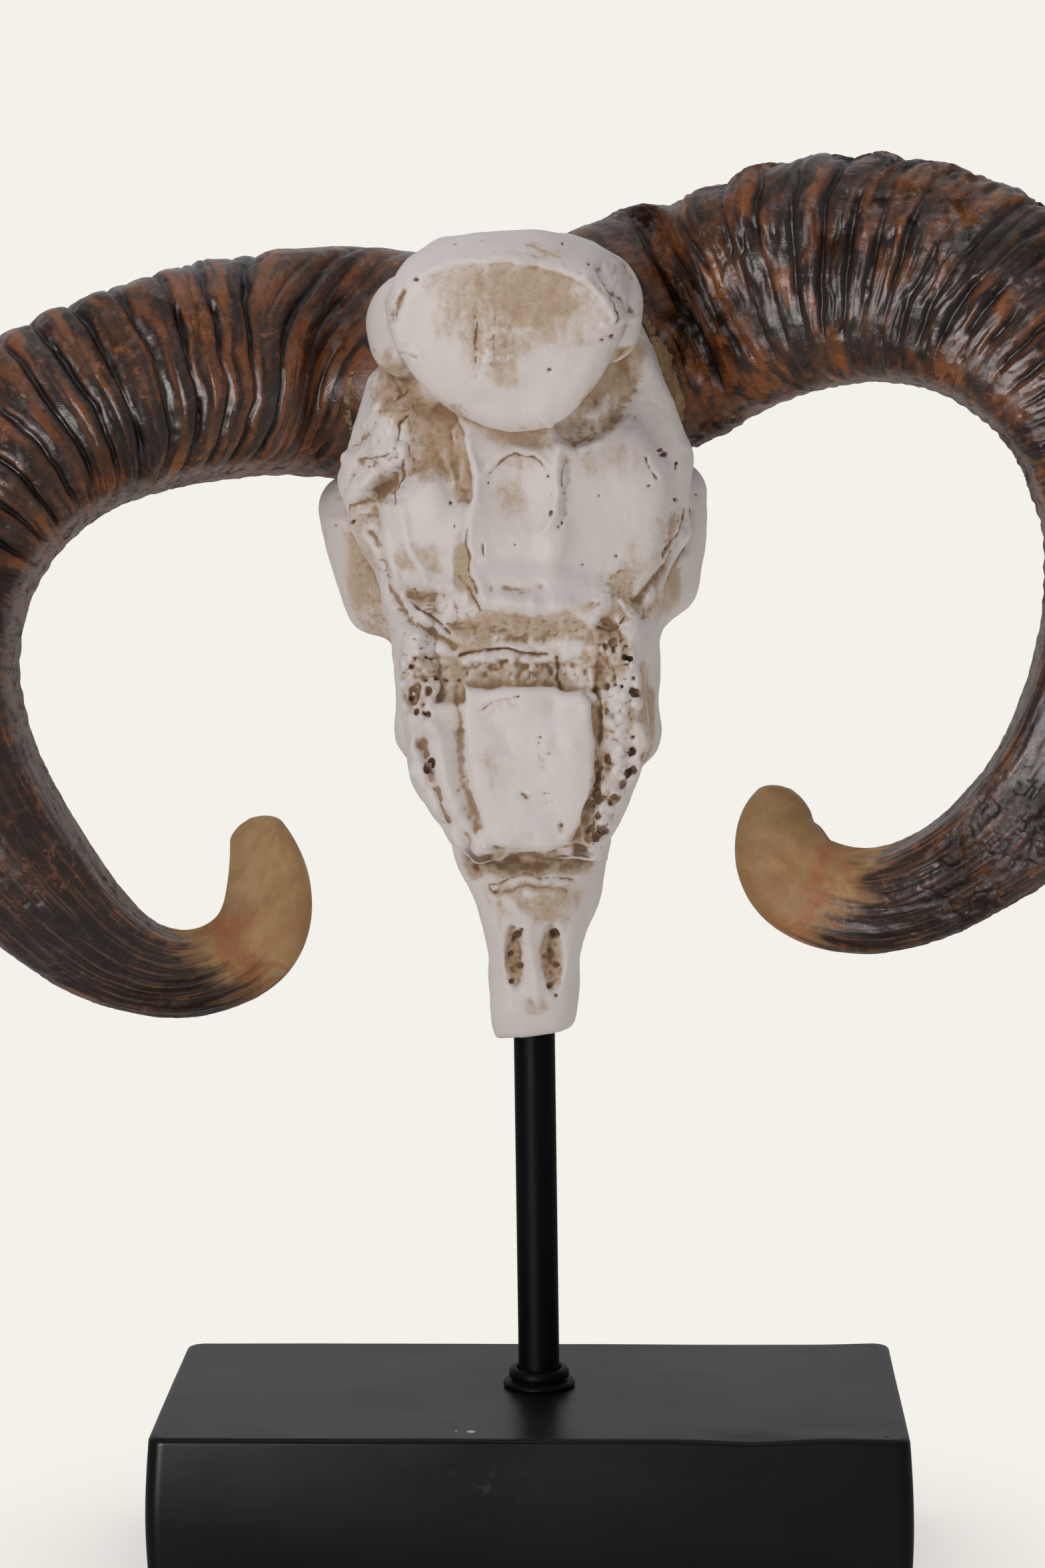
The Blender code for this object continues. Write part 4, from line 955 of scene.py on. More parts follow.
def patches(places, table, ragged=np.zeros((1, 2)), drift=0.0):
    """Soft ellipses laid over each other, from 0 to 1. The ragged offsets move their edges."""
    total = np.zeros(len(places), np.float32)
    for x, y, wide, tall, tilt, strength in table:
        turn = math.radians(tilt)
        share = min(1.0, min(wide, tall) / 50) * drift
        dx, dy = places[:, 0] + share * ragged[:, 0] - x, places[:, 1] + share * ragged[:, 1] - y
        across = (dx * math.cos(turn) + dy * math.sin(turn)) / wide
        along = (dy * math.cos(turn) - dx * math.sin(turn)) / tall
        total = np.maximum(total, strength * (1 - eased(np.hypot(across, along), 0.45, 1.25)))
    return total


def skull_relief(points, places, facing):
    """How far each vertex moves along its normal, in mm, how much wash and painted shadow it holds, and
    wavy places.
    """
    seen = eased(facing, 0.05, 0.3)
    rough = patches(places, ROUGH_PATCHES) * seen
    lumps = sum(height * layered_noise(points, *form) for height, *form in HAND_LUMPS)
    chips = spots(points, 6.5, 67, 1.1) * eased(layered_noise(points, 22, 69, 2), -0.2, 0.4)
    lumps += 0.28 * chips
    wrinkles = patches(places, WRINKLED) * seen
    crease = 1 - np.clip(np.abs(layered_noise(points, (15, 15, 11), 15, 3)) * 4.5, 0, 1)
    lumps += wrinkles * (0.95 * layered_noise(points, 9, 17, 4) - 0.6 * crease**2)
    fine_crease = 1 - np.clip(np.abs(layered_noise(points, (6, 6, 5), 19, 3)) * 5.0, 0, 1)
    lumps -= 0.5 * wrinkles * fine_crease**2
    grain = layered_noise(points, 2.2, 21, 2)
    grain_lines = layered_noise(points, (1.8, 1.8, 6.0), 31, 2)
    relief = lumps + rough * (0.85 * grain + 0.45 * grain_lines)
    wash = np.clip(rough * (0.3 - 0.9 * grain), 0, 1)
    wavy = places + 3.0 * paired_noise(points, 5.0, 41, 43) + 1.2 * paired_noise(points, 1.6, 45, 47)
    for half, height, *line in FOLDS:
        relief += height * hill(line_distance(wavy, line), half) * seen
    uneven = eased(layered_noise(points, 4.5, 49, 2), -0.75, 0.35)
    uneven_side = layered_noise(points, 7.0, 53, 2)
    # Cracks hold wash. The broad line under the plug holds painted shadow.
    for half, depth, dark, *line in CRACKS:
        gap = line_distance(wavy, line) / (half * (0.45 + 0.5 * uneven))
        relief -= depth * hill(gap, 1) * seen * (0.35 + 0.65 * uneven)
        wash = np.maximum(wash, dark * (0.3 + 0.7 * uneven) * hill(gap, 1.25) * seen)
        relief += 0.55 * depth * uneven_side * hill(gap, 4.5) * seen
    for x, y, radius, depth in PINHOLES:
        gap = np.hypot(wavy[:, 0] - x, wavy[:, 1] - y) / (0.82 * radius)
        relief -= depth * np.exp(-(gap**4)) * seen
        wash = np.maximum(wash, 0.95 * np.exp(-((gap / 1.15) ** 4)) * seen)
    pores = spots(points, 9.0, 60, 0.85) * eased(layered_noise(points, 30, 64, 2), -0.15, 0.35)
    return relief - 0.7 * pores, np.maximum(wash, pores), wavy


# Face side: sutures of the skull roof as lines of x and z in mm, then holes as x, z and radius
SUTURES = (
    (0.5, 60, 1.5, 90, 0.0, 120, 1.2, 150, 0.4, 180, 1.6, 215, 0.6, 245),
    (-26, 152, -18, 160, -9, 157, 0, 163, 10, 157, 19, 160, 27, 151),
    (-13, 62, -15, 90, -17, 120, -20, 150),
    (14, 62, 16, 90, 18, 120, 21, 150),
    (-34, 205, -20, 214, -8, 211, 0, 217, 9, 211, 20, 214, 34, 206),
)
FACE_HOLES = ((-21, 196, 1.9), (22, 197, 1.9), (-27, 88, 2.4), (29, 88, 2.4), (-15, 199, 0.9))


def face_side_relief(points, normals):
    """Sutures and holes on the side that looks away from the photo's camera."""
    away = eased(normals[:, 1], 0.15, 0.5)
    zigzag = 1.3 * paired_noise(points, 1.7, 71, 73) + 2.0 * paired_noise(points, 7.0, 75, 77)
    flat = points[:, [0, 2]] + zigzag
    relief = np.zeros(len(points), np.float32)
    wash = np.zeros(len(points), np.float32)
    for line in SUTURES:
        gap = line_distance(flat, line) / 0.75
        relief -= 0.75 * hill(gap, 1) * away
        wash = np.maximum(wash, 0.75 * hill(gap, 1.6) * away)
    for x, z, radius in FACE_HOLES:
        gap = np.hypot(points[:, 0] - x, points[:, 2] - z) / radius
        relief -= 2.4 * np.exp(-(gap**4)) * away
        wash = np.maximum(wash, np.exp(-((gap / 1.3) ** 4)) * away)
    return relief, wash


def creases(points, normals, quads, rounds):
    """How deep each vertex lies under its softened surroundings, in mm, and those surroundings."""
    starts = quads.ravel()
    ends = np.roll(quads, -1, axis=1).ravel()
    size = len(points)
    count = np.bincount(starts, minlength=size) + np.bincount(ends, minlength=size)
    soft = points.astype(float)
    for _ in range(rounds):
        total = np.empty_like(soft)
        for axis, column in enumerate(soft.T):
            total[:, axis] = np.bincount(starts, column[ends], size)
            total[:, axis] += np.bincount(ends, column[starts], size)
        soft = 0.35 * soft + 0.65 * total / count[:, None]
    return ((soft - points) * normals).sum(1), soft


def build_skull():
    """The skull as one fine mesh, with what the wash and the painted shadow under the plug need kept on its
    vertices.
    """
    points, quads = surface_nets(field_on_grid(), GRID_LOW, GRID_STEP)
    for _ in range(2):
        slope = field_slope(points)
        size = (slope**2).sum(1) + 1e-3
        move = np.clip(skull_field(points) / size, -0.5 * GRID_STEP, 0.5 * GRID_STEP)
        points = points - slope * move[:, None]
    slope = field_slope(points, 0.5)
    normals = slope / (np.linalg.norm(slope, axis=1, keepdims=True) + 1e-6)
    small, medium, large = openness(points + normals * 0.4)
    scene_points = skull_to_scene(points)
    places = photo_places(scene_points)
    facing = (normals @ SKULL_TURN.T * unit(np.array(CAMERA_PLACE) - scene_points)).sum(1)
    relief, wash, wavy = skull_relief(points, places, facing)
    face_relief, face_wash = face_side_relief(points, normals)
    moved = points + normals * (relief + face_relief)[:, None]
    scale = (1.3 / GRID_STEP) ** 2
    fine_crease, soft = creases(moved, normals, quads, max(2, round(1.5 * scale)))
    wide_crease = fine_crease + creases(soft, normals, quads, round(7 * scale))[0]
    ragged = paired_noise(points, 11.0, 51, 57, 3)
    # Brown wash patches, with the painted shadow under the plug's edge among them.
    stain_and_shadow = patches(wavy, STAINS_AND_SHADOW, ragged, 22) * eased(facing, -0.05, 0.25)
    stain_and_shadow *= 1 + 0.45 * layered_noise(points, (2.4, 2.4, 14), 83, 2)
    behind = 1 - eased(facing, -0.1, 0.2)
    stain_and_shadow += behind * 0.30 * eased(layered_noise(points, 26, 81, 3), -0.1, 0.6)
    attributes = {
        "wash": np.maximum(wash, face_wash),
        "stain_and_shadow": stain_and_shadow,
        "hollow": 0.5 + 1.2 * small + 1.8 * medium + 1.6 * large,
        "crease": 0.5 + 1.6 * fine_crease,
        "fold": 0.5 + 0.75 * wide_crease,
    }
    attributes = {name: np.clip(values, 0, 1) for name, values in attributes.items()}
    return add_mesh("skull_casting", skull_to_scene(moved), quads, attributes)


# Horns


def horn_look(side_name):
    """One horn's own values."""
    index = ("left", "right").index(side_name)
    return SimpleNamespace(**{key: pair[index] for key, pair in HORN_LOOKS.items()})


def smooth_track(keys, count):
    """Evenly spaced rows of a natural cubic spline through the rows of keys, and its length."""
    keys = np.array(keys, float)
    steps = np.linalg.norm(np.diff(keys[:, :3], axis=0), axis=1)
    knots = np.concatenate([[0.0], np.cumsum(steps)])
    size = len(keys)
    system = np.eye(size)
    wanted = np.zeros_like(keys)
    for i in range(1, size - 1):
        before, after = steps[i - 1], steps[i]
        system[i, i - 1 : i + 2] = before, 2 * (before + after), after
        wanted[i] = 6 * ((keys[i + 1] - keys[i]) / after - (keys[i] - keys[i - 1]) / before)
    bend = np.linalg.solve(system, wanted)

    def rows_at(where):
        i = np.clip(np.searchsorted(knots, where) - 1, 0, size - 2)
        width = steps[i][:, None]
        ahead = (where - knots[i])[:, None] / width
        behind = 1 - ahead
        bow = (behind**3 - behind) * bend[i] + (ahead**3 - ahead) * bend[i + 1]
        return behind * keys[i] + ahead * keys[i + 1] + bow * width**2 / 6

    fine = np.linspace(0, knots[-1], TRACK_SAMPLES)
    run = np.linalg.norm(np.diff(rows_at(fine)[:, :3], axis=0), axis=1)
    travelled = np.concatenate([[0.0], np.cumsum(run)])
    even = np.linspace(0, travelled[-1], count)
    return rows_at(np.interp(even, travelled, fine)), travelled[-1]


def angle_gap(angle, target):
    """How far one angle is from another, from -pi to pi."""
    return (angle - target + math.pi) % math.tau - math.pi


def horn_surface(look, rings, sides):
    """The smooth horn as a grid of points in skull mm, with share of length, angle and length."""
    rows, length = smooth_track(look.keys, rings)
    share = np.linspace(0, 1, rings)[:, None]
    mirror = np.array([look.side, 1, 1])
    centres = rows[:, :3] * mirror
    turn = np.clip(share / HORN_BASE_TURN, 0, 1)
    along = unit(HORN_BASE_NORMAL * mirror * (1 - turn) + unit(np.gradient(centres, axis=0)) * turn)
    depth_way = unit(np.array([0.0, 1.0, 0.0]) - along * along[:, 1:2])
    out_way = np.cross(along, depth_way) * -look.side
    angle = np.linspace(0, math.tau, sides, endpoint=False)[None, :]
    power = HORN_SQUARENESS
    corner = angle - HORN_SECTION_TURN[look.side]
    square = (np.abs(np.cos(corner)) ** power + np.abs(np.sin(corner)) ** power) ** (-1 / power)
    reach = square * (1 + 0.07 * hill(angle_gap(angle, HORN_KEEL_ANGLE), math.radians(24)))
    to_end = np.clip((1 - share) * length / HORN_END_RADIUS, 0, 1)
    half = rows[:, 3:5] / 2 * np.sqrt(np.clip(1 - (1 - to_end) ** 2, 0.02, 1))
    points = (
        centres[:, None, :]
        + out_way[:, None, :] * (half[:, :1] * np.cos(angle) * reach)[..., None]
        + depth_way[:, None, :] * (half[:, 1:] * np.sin(angle) * reach)[..., None]
    )
    return points, share, angle, length


def surface_normals(points):
    """Outward normals of a closed tube given as a grid of points."""
    around = np.roll(points, -1, axis=1) - np.roll(points, 1, axis=1)
    normals = unit(np.cross(around, np.gradient(points, axis=0)))
    outwards = ((points - points.mean(axis=1, keepdims=True)) * normals).sum()
    return normals if outwards >= 0 else -normals


def flat_noise(points, scale, seed, layers=3):
    return layered_noise(points.reshape(-1, 3), scale, seed, layers).reshape(points.shape[:2])


def build_horn(side_name):
    """One ridged horn from its root inside the skull to its blunt tip, as one mesh."""
    look = horn_look(side_name)
    points, share, angle, length = horn_surface(look, HORN_RINGS, HORN_SIDES)

    def noise(where, scale, seed, layers=3):
        return flat_noise(where, scale, look.seed + seed, layers)

    def around(first, reach):
        """Places with one value of their own, then the way round the horn."""
        rows = (first, reach * np.cos(angle), reach * np.sin(angle))
        return np.stack(np.broadcast_arrays(*rows), axis=-1)

    front_line = points[:, round(0.75 * HORN_SIDES)]
    steps = np.linalg.norm(np.diff(front_line, axis=0), axis=1)
    run = np.concatenate([[0.0], np.cumsum(steps)])[:, None]
    front = angle_gap(angle, math.radians(-90))
    crest = angle_gap(angle, HORN_CREST_ANGLE)
    below = eased(crest, 0.0, 0.32) * (1 - eased(crest, 1.25, 1.9))
    smooth_part = eased(share, RIDGE_END - 0.15, RIDGE_END + 0.1)

    # Rings of growth: rounded ridges with broken grooves between them
    wobble = noise(points, 34, 0, 2)
    fine_wobble = noise(points, 11, 5, 2)
    slant = look.slant_root + (look.slant_far - look.slant_root) * eased(share, 0.04, 0.28)
    bow = 2.2 * np.cos(front * 1.6)
    phase = (run + slant * front + bow + 3.0 * wobble + 1.3 * fine_wobble) / look.spacing
    fraction = phase - np.floor(phase)
    gap = np.minimum(fraction, 1 - fraction) * look.spacing
    number = np.floor(phase + 0.5).astype(np.int64)
    depth_here = 0.55 + 0.75 * hashed(number, number * 0, number * 0, look.seed)
    broken = eased(noise(points, (15, 15, 15), 9), -0.35, 0.1)
    broken = 1 - (1 - broken) * (0.45 + 0.5 * look.erosion)
    fade = eased(share, 0.0, 0.05) * (1 - eased(share, RIDGE_END - 0.2, RIDGE_END + 0.06))
    ridged = fade * (1 - 0.85 * below) * (1 - look.plain_band * hill(crest + 0.22, 0.24))
    groove = hill(gap, 1.0 + 0.5 * fine_wobble) * depth_here * broken * ridged
    rise = 1 - (1 - 2 * np.minimum(fraction**1.12, 1 - fraction**1.12)) ** 2.4
    relief = look.ridge * (rise - 0.6) * ridged * (0.4 + 0.6 * broken) * (0.6 + 0.5 * depth_here)
    relief -= 1.2 * groove

    # Fine hair grooves, short crosswise lumps, cuts and scallops on the ridges
    half_phase = (run + slant * front + 3.0 * wobble) / (look.spacing * 0.5) + 0.3
    half_gap = np.abs(half_phase - np.floor(half_phase) - 0.5) * look.spacing * 0.5
    thin = eased(noise(points, 20, 13, 2), -0.05, 0.25) * ridged
    hair = hill(look.spacing * 0.25 - half_gap, 0.55) * thin
    relief -= 0.65 * hair
    crosswise = around(phase * look.spacing, 30)
    lengthwise = around(run, 30)
    relief += look.short * noise(crosswise, (3.4, 14, 14), 61) * ridged
    stripe = noise(crosswise, look.stripe, 67, 4)
    brushed = noise(lengthwise, (13, 2.0, 2.0), 69, 2)
    relief += 0.10 * brushed
    lines = noise(crosswise, (6.0, 24, 24), 63, 2)
    cuts = np.clip(1 - np.abs(lines) * 8, 0, 1) * eased(noise(points, 18, 65, 2), -0.15, 0.3)
    cuts = look.cuts * cuts * ridged
    relief -= 0.9 * cuts
    outer = hill(angle_gap(angle, math.pi), 0.9) * fade
    relief += look.scallop * np.cos(math.tau * (run + 5 * wobble) / 16.0) * outer
    small = np.cos(math.tau * (share * length + 7 * wobble) / look.small_spacing)
    relief += 0.16 * small * below * (1 - eased(share, 0.5, 0.75))

    # A crest along the front, with a shallow valley beside it
    crest_lift = hill(crest, 0.24) * (0.8 + 0.9 * eased(share, 0.3, 0.7))
    relief += crest_lift * eased(share, 0.05, 0.15) * (1 - eased(share, 0.78, 0.9)) * 0.9
    relief -= 0.9 * hill(crest + 0.5, 0.3) * eased(share, 0.1, 0.3) * (1 - eased(share, 0.6, 0.85))

    # Streaks along the smooth part, wear, grain and pits
    streak_points = around(run / 26.0, 9)
    streaks = noise(streak_points, 1.0, 21)
    fine_streaks = noise(streak_points * np.array([1.5, 3.4, 3.4]), 1.0, 23, 2)
    plain_tip = 1 - 0.7 * eased(share, look.pale_from - 0.03, look.pale_from + 0.05)
    relief += (0.45 * streaks + 0.22 * fine_streaks) * (0.25 + 0.75 * smooth_part) * plain_tip
    relief += 0.55 * noise(points, 22, 31)
    eroded = look.erosion * eased(noise(points, 24, 33, 2), -0.2, 0.4)
    eroded = eroded * (1 - eased(share, 0.76, 0.88))
    worn = noise(points, (6.5, 6.5, 9.0), 37, 4)
    relief += eroded * (0.9 * worn - 0.9 * np.clip(1 - np.abs(worn) * 9, 0, 1))
    relief += 0.22 * noise(points, (7, 7, 7), 38) * (1 - smooth_part)
    relief += (0.10 + 0.30 * eroded) * noise(points, 2.2, 39, 2)
    pit = spots(points.reshape(-1, 3), 5.2, look.seed + 41, 1.35).reshape(points.shape[:2])
    pit *= eased(noise(points, 20, 43, 2), -0.25, 0.3) * look.pits * (1 - eased(share, 0.7, 0.85))
    relief -= 1.0 * pit

    # Less relief on the tip and at the root, and none at the very end or inside a tight bend
    relief *= 1 - 0.75 * eased(share, 0.86, 0.93)
    relief *= 0.15 + 0.85 * eased(share, 0.0, 0.03)
    relief *= 1 - eased(share, 0.980, 0.997)
    ring_way = unit(np.gradient(points.mean(axis=1), axis=0))[:, None, :]
    spread = (np.gradient(points, axis=0) * ring_way).sum(-1) * HORN_RINGS / length
    relief *= eased(spread, 0.15, 0.6)
    moved = points + surface_normals(points) * relief[..., None]

    # Rings and points that close both ends
    start, end = moved[0].mean(0), moved[-1].mean(0)
    end_way = unit(np.diff(points.mean(1)[-3:], axis=0).mean(0))
    bulge = end_way * np.linalg.norm(moved[-1] - end, axis=1).mean() * END_BULGE
    turns = np.arange(1, END_RINGS + 1) / (END_RINGS + 1) * math.pi / 2
    end_rings = [end + (moved[-1] - end) * math.cos(turn) + bulge * math.sin(turn) for turn in turns]
    inwards = HORN_BASE_NORMAL * np.array([look.side, 1, 1]) * look.root_depth
    root_rings = [start + (moved[0] - start) * size - inwards * depth for size, depth in ROOT_RINGS]
    grid = np.concatenate([root_rings, moved, end_rings])
    flat = np.concatenate([grid.reshape(-1, 3), [start - inwards, end + bulge]])
    quads = tube_quads(len(grid), HORN_SIDES, look.side > 0, True, True)

    pale_edge = look.pale_from + 0.034 * noise(lengthwise, (15, 4, 4), 51)
    pale_edge = pale_edge + 0.030 * np.cos(angle_gap(angle, math.radians(180)))
    banding = stripe * (1 - 0.9 * smooth_part) + 0.65 * fine_streaks * smooth_part
    dark = 1.25 * groove + 0.6 * hair + 0.7 * cuts + pit + 0.45 * eased(-relief, 0.6, 2.0)
    attributes = {
        "dark": np.clip(dark, 0, 1),
        "height": np.clip(0.5 + 0.3 * relief, 0, 1),
        "under": below * eased(share, 0.02, 0.06),
        "worn": np.clip(eroded, 0, 1),
        "pale": eased(share - pale_edge, -0.016, 0.030),
        "blush": hill(share - look.pale_from - 0.03, 0.035),
        "streak": 0.5 + 0.5 * fine_streaks,
        "stripe": 0.5 + 0.5 * banding,
        "brushed": 0.5 + 0.5 * brushed,
        "smooth": smooth_part,
    }
    for name, values in attributes.items():
        values = np.broadcast_to(values, points.shape[:2])
        root = np.repeat(values[:1], len(root_rings), 0)
        row = np.concatenate([root, values, np.repeat(values[-1:], len(end_rings), 0)]).ravel()
        attributes[name] = np.concatenate([row, row[:1], row[-1:]])
    return add_mesh(f"horn_{side_name}", skull_to_scene(flat), quads, attributes)


def build_core(side_name):
    """The fibrous tan rim between the skull and a horn's first rings: out along it, then back inside."""
    look = horn_look(side_name)
    rows, sides = 1200, 240
    count, back_count = 34, 14
    points, _, angle, length = horn_surface(look, rows, sides)
    first = points[0]
    middle = first.mean(0)
    base = HORN_BASE_NORMAL * np.array([look.side, 1, 1])
    low_front = hill(angle_gap(angle[0], math.radians(look.rim_angle)), 0.9)
    ragged = flat_noise(points[:2], 5.0, look.seed + 67, 2)[0]
    reach = look.rim_reach * (0.06 + low_front) * (1 + 0.35 * ragged) / length
    normals = surface_normals(points)
    column = np.arange(sides)
    rings = []
    for n in range(count, 0, -1):
        along = n / count
        row = np.clip((reach * along * (rows - 1)).astype(int), 0, rows - 1)
        lift = look.rim_lift * low_front * (1 - along**3) - 0.7 + 0.5 * low_front
        rings.append(points[row, column] + normals[row, column] * lift[:, None])
    for back in np.linspace(0, 1, back_count):
        size = 0.97 + 0.05 * low_front[:, None] * look.rim_lift / 2 - 0.14 * back
        rings.append(middle + (first - middle) * size - base * 12 * back)
    grid = np.stack(rings)
    normals = surface_normals(grid)
    if (normals[count // 2] * (grid[count // 2] - middle)).sum() < 0:
        normals = -normals
    fibre = flat_noise(grid, (3.4, 6.0, 3.4), look.seed + 71)
    relief = 0.55 * fibre + 0.12 * np.cos(angle * 96 + 7.0 * fibre)
    grid = grid + normals * relief[..., None]
    ends = [middle + (grid[n] - middle) * 0.5 for n in (0, -1)]
    grid = np.concatenate([ends[:1], grid, ends[1:]])
    hollow = np.clip(0.5 - 0.6 * relief, 0, 1)
    hollow = np.concatenate([hollow[:1], hollow, hollow[-1:]])
    quads = tube_quads(len(grid), sides, look.side < 0, True, True)
    flat = np.concatenate([grid.reshape(-1, 3), [grid[0].mean(0), grid[-1].mean(0)]])
    attributes = {"hollow": np.concatenate([hollow.ravel(), [0.5, 0.5]])}
    return add_mesh(f"horn_core_rim_{side_name}", skull_to_scene(flat), quads, attributes)


# Stand

# Places on the block's top that rise or sink: x, y, reach in x and in y, rise, in mm
BLOCK_WAVES = ((124, 56, 14, 20, 0.55), (75, -60, 16, 7, -1.0), (95, -58, 22, 7, 0.5))


def block_outline(half, corner, fine):
    """Points round a rectangle with rounded corners, about this far apart along its sides."""
    centres = (half - corner) * np.array(((1, 1), (-1, 1), (-1, -1), (1, -1)))
    around = []
    for index, centre in enumerate(centres):
        for turn in np.radians(90 * index + np.linspace(0, 90, 9)):
            around.append(centre + corner * np.array((math.cos(turn), math.sin(turn))))
        start, side = around[-1], centres[(index + 1) % 4] - centre
        count = int(np.linalg.norm(side) / fine)
        around += [start + side * share for share in np.linspace(0, 1, count + 1)[1:-1]]
    return np.array(around)


def build_base():
    """The carved block: hand-worked faces that wave a little, with softly rounded edges."""
    width, depth, height = BASE_SIZE
    half = np.array((width / 2, depth / 2))
    edge, corner = 1.8, 5.0
    fine = 0.8
    outline = block_outline(half, corner, fine)
    turns = np.linspace(0, math.pi / 2, 8)
    edge_rise, edge_inset = edge * (1 - np.cos(turns)), edge * (1 - np.sin(turns))
    wall = np.arange(edge + fine, height - edge, fine)
    inwards = np.linspace(edge, depth / 2, int(depth / 2 / fine) + 1)[1:]
    heights = np.concatenate([edge_rise, wall, height - edge_rise[::-1], np.full(len(inwards), height)])
    insets = np.concatenate([edge_inset, np.zeros(len(wall)), edge_inset[::-1], inwards])
    rings = []
    for z, inset in zip(heights, insets):
        swell = 1.5 * math.sin(math.pi * z / height)
        ring = outline * (half + swell - inset) / half
        if inset > corner:
            ring = np.clip(outline, inset - half, half - inset)
        rings.append(np.column_stack([ring, np.full(len(ring), z)]))
    flat = np.concatenate(rings)
    lift = 0.35 * layered_noise(flat, (60, 60, 40), 401, 2) + 0.06 * layered_noise(flat, (24, 9, 9), 403, 2)
    top = eased(flat[:, 2], height - 3.5, height - 0.5)
    wave = 0
    for x, y, wide, deep, rise in BLOCK_WAVES:
        wave = wave + rise * hill(flat[:, 0] - x, wide) * hill(flat[:, 1] - y, deep)
    flat[:, 2] += wave * top + lift * 0.5 * top
    for axis, share in ((1, 1 - top * 0.5), (0, 1)):
        outer = np.abs(flat[:, axis]) > half[axis] - 3
        flat[:, axis] += np.where(outer, np.sign(flat[:, axis]) * 0.5 * lift * share, 0)
    points = np.concatenate([flat, [[0, 0, 0]]])
    quads = tube_quads(len(rings), len(outline), head=True)
    scuff = hill(points[:, 0] + 12, 15) * hill(points[:, 2] - 46, 7)
    return add_mesh("stand_block", points * MM, quads, {"scuff": scuff})


def turned(name, profile, foot, sides, way=(0, 0, 1)):
    """A turned piece from (radius, height) rows, standing at foot along a direction."""
    turn = np.array(Vector(way).to_track_quat("Z", "Y").to_matrix())
    angle = np.linspace(0, math.tau, sides, endpoint=False)
    rings = []
    for radius, height in profile:
        ring = np.stack([radius * np.cos(angle), radius * np.sin(angle), np.full(sides, height)], axis=1)
        rings.append(ring @ turn.T + np.array(foot))
    return add_mesh(name, np.concatenate(rings) * MM, tube_quads(len(rings), sides))


def rounded_profile(rows, radius, steps=6):
    """A profile with its corners rounded."""

    def part_way(corner, end):
        gap = np.linalg.norm(end - corner)
        return corner + (end - corner) / gap * min(radius, gap * 0.45)

    rows = np.array(rows)
    result = [rows[0]]
    for before, corner, after in zip(rows[:-2], rows[1:-1], rows[2:]):
        first, last = part_way(corner, before), part_way(corner, after)
        for share in np.linspace(0, 1, steps):
            back = 1 - share
            result.append(first * back**2 + 2 * corner * share * back + last * share**2)
    result.append(rows[-1])
    return result


def build_rod():
    """The rod, from inside the block to inside the muzzle, in line with the skull's origin."""
    foot = np.array(ROD_FOOT)
    along = unit(SKULL_ORIGIN - foot)
    length = ROD_IN_BLOCK + np.linalg.norm(SKULL_ORIGIN - foot) + ROD_IN_MUZZLE
    profile = [(0.02, 0.0), (ROD_RADIUS - 0.5, 0.0), (ROD_RADIUS, 0.5)]
    profile += [(ROD_RADIUS, z) for z in np.linspace(4.0, length - 4.0, 60)]
    profile += [(ROD_RADIUS, length - 0.5), (ROD_RADIUS - 0.5, length), (0.02, length)]
    return turned("stand_rod", profile, foot - along * ROD_IN_BLOCK, 96, along)


def build_flange():
    """The flange on the block: a thin disc with a rounded bead round the rod's foot."""
    inner = ROD_RADIUS + 0.6
    foot = 0.3
    rows = [
        (inner, FLANGE_HEIGHT - 0.6),
        (inner, FLANGE_HEIGHT),
        (BEAD_RADIUS - 0.9, FLANGE_HEIGHT),
        (BEAD_RADIUS, FLANGE_HEIGHT - 1.2),
        (BEAD_RADIUS, DISC_HEIGHT + 1.1),
        (BEAD_RADIUS - 0.9, DISC_HEIGHT + 0.25),
        (FLANGE_RADIUS - 0.8, DISC_HEIGHT),
        (FLANGE_RADIUS, DISC_HEIGHT - 0.8),
        (FLANGE_RADIUS, foot),
        (inner, foot),
        (inner, foot + 0.2),
    ]
    profile = rounded_profile(rows, 0.7)
    profile.append(profile[0])
    place = (ROD_FOOT[0], ROD_FOOT[1], BASE_SIZE[2])
    return turned("stand_flange", profile[::-1], place, 128)


# Materials

PAPER = (244, 241, 235)


def linear(screen):
    """A screen colour, from 0 to 255, as the light it stands for."""
    shares = [value / 255 for value in screen]
    return tuple(s / 12.92 if s <= 0.04045 else ((s + 0.055) / 1.055) ** 2.4 for s in shares)


class Value:
    """A node's output. What is done with it makes further nodes."""

    def __init__(self, nodes, output):
        self.nodes, self.output = nodes, output

    def __add__(self, other):
        return self.nodes.math("ADD", self, other)

    def __sub__(self, other):
        return self.nodes.math("SUBTRACT", self, other)

    def __mul__(self, other):
        return self.nodes.math("MULTIPLY", self, other)

    def clamped(self):
        return self.nodes.math("ADD", self, 0.0, True)

    def span(self, low, high, out_low=0.0, out_high=1.0):
        """The value's span from low to high, smoothly set to another span."""
        ends = {"Value": self, "From Min": low, "From Max": high, "To Min": out_low, "To Max": out_high}
        return self.nodes.add("MapRange", ends, interpolation_type="SMOOTHSTEP")

    def tinted(self, share, screen):
        """The colour with a share of a screen colour over it."""
        return self.nodes.mix(share, self, linear(screen))


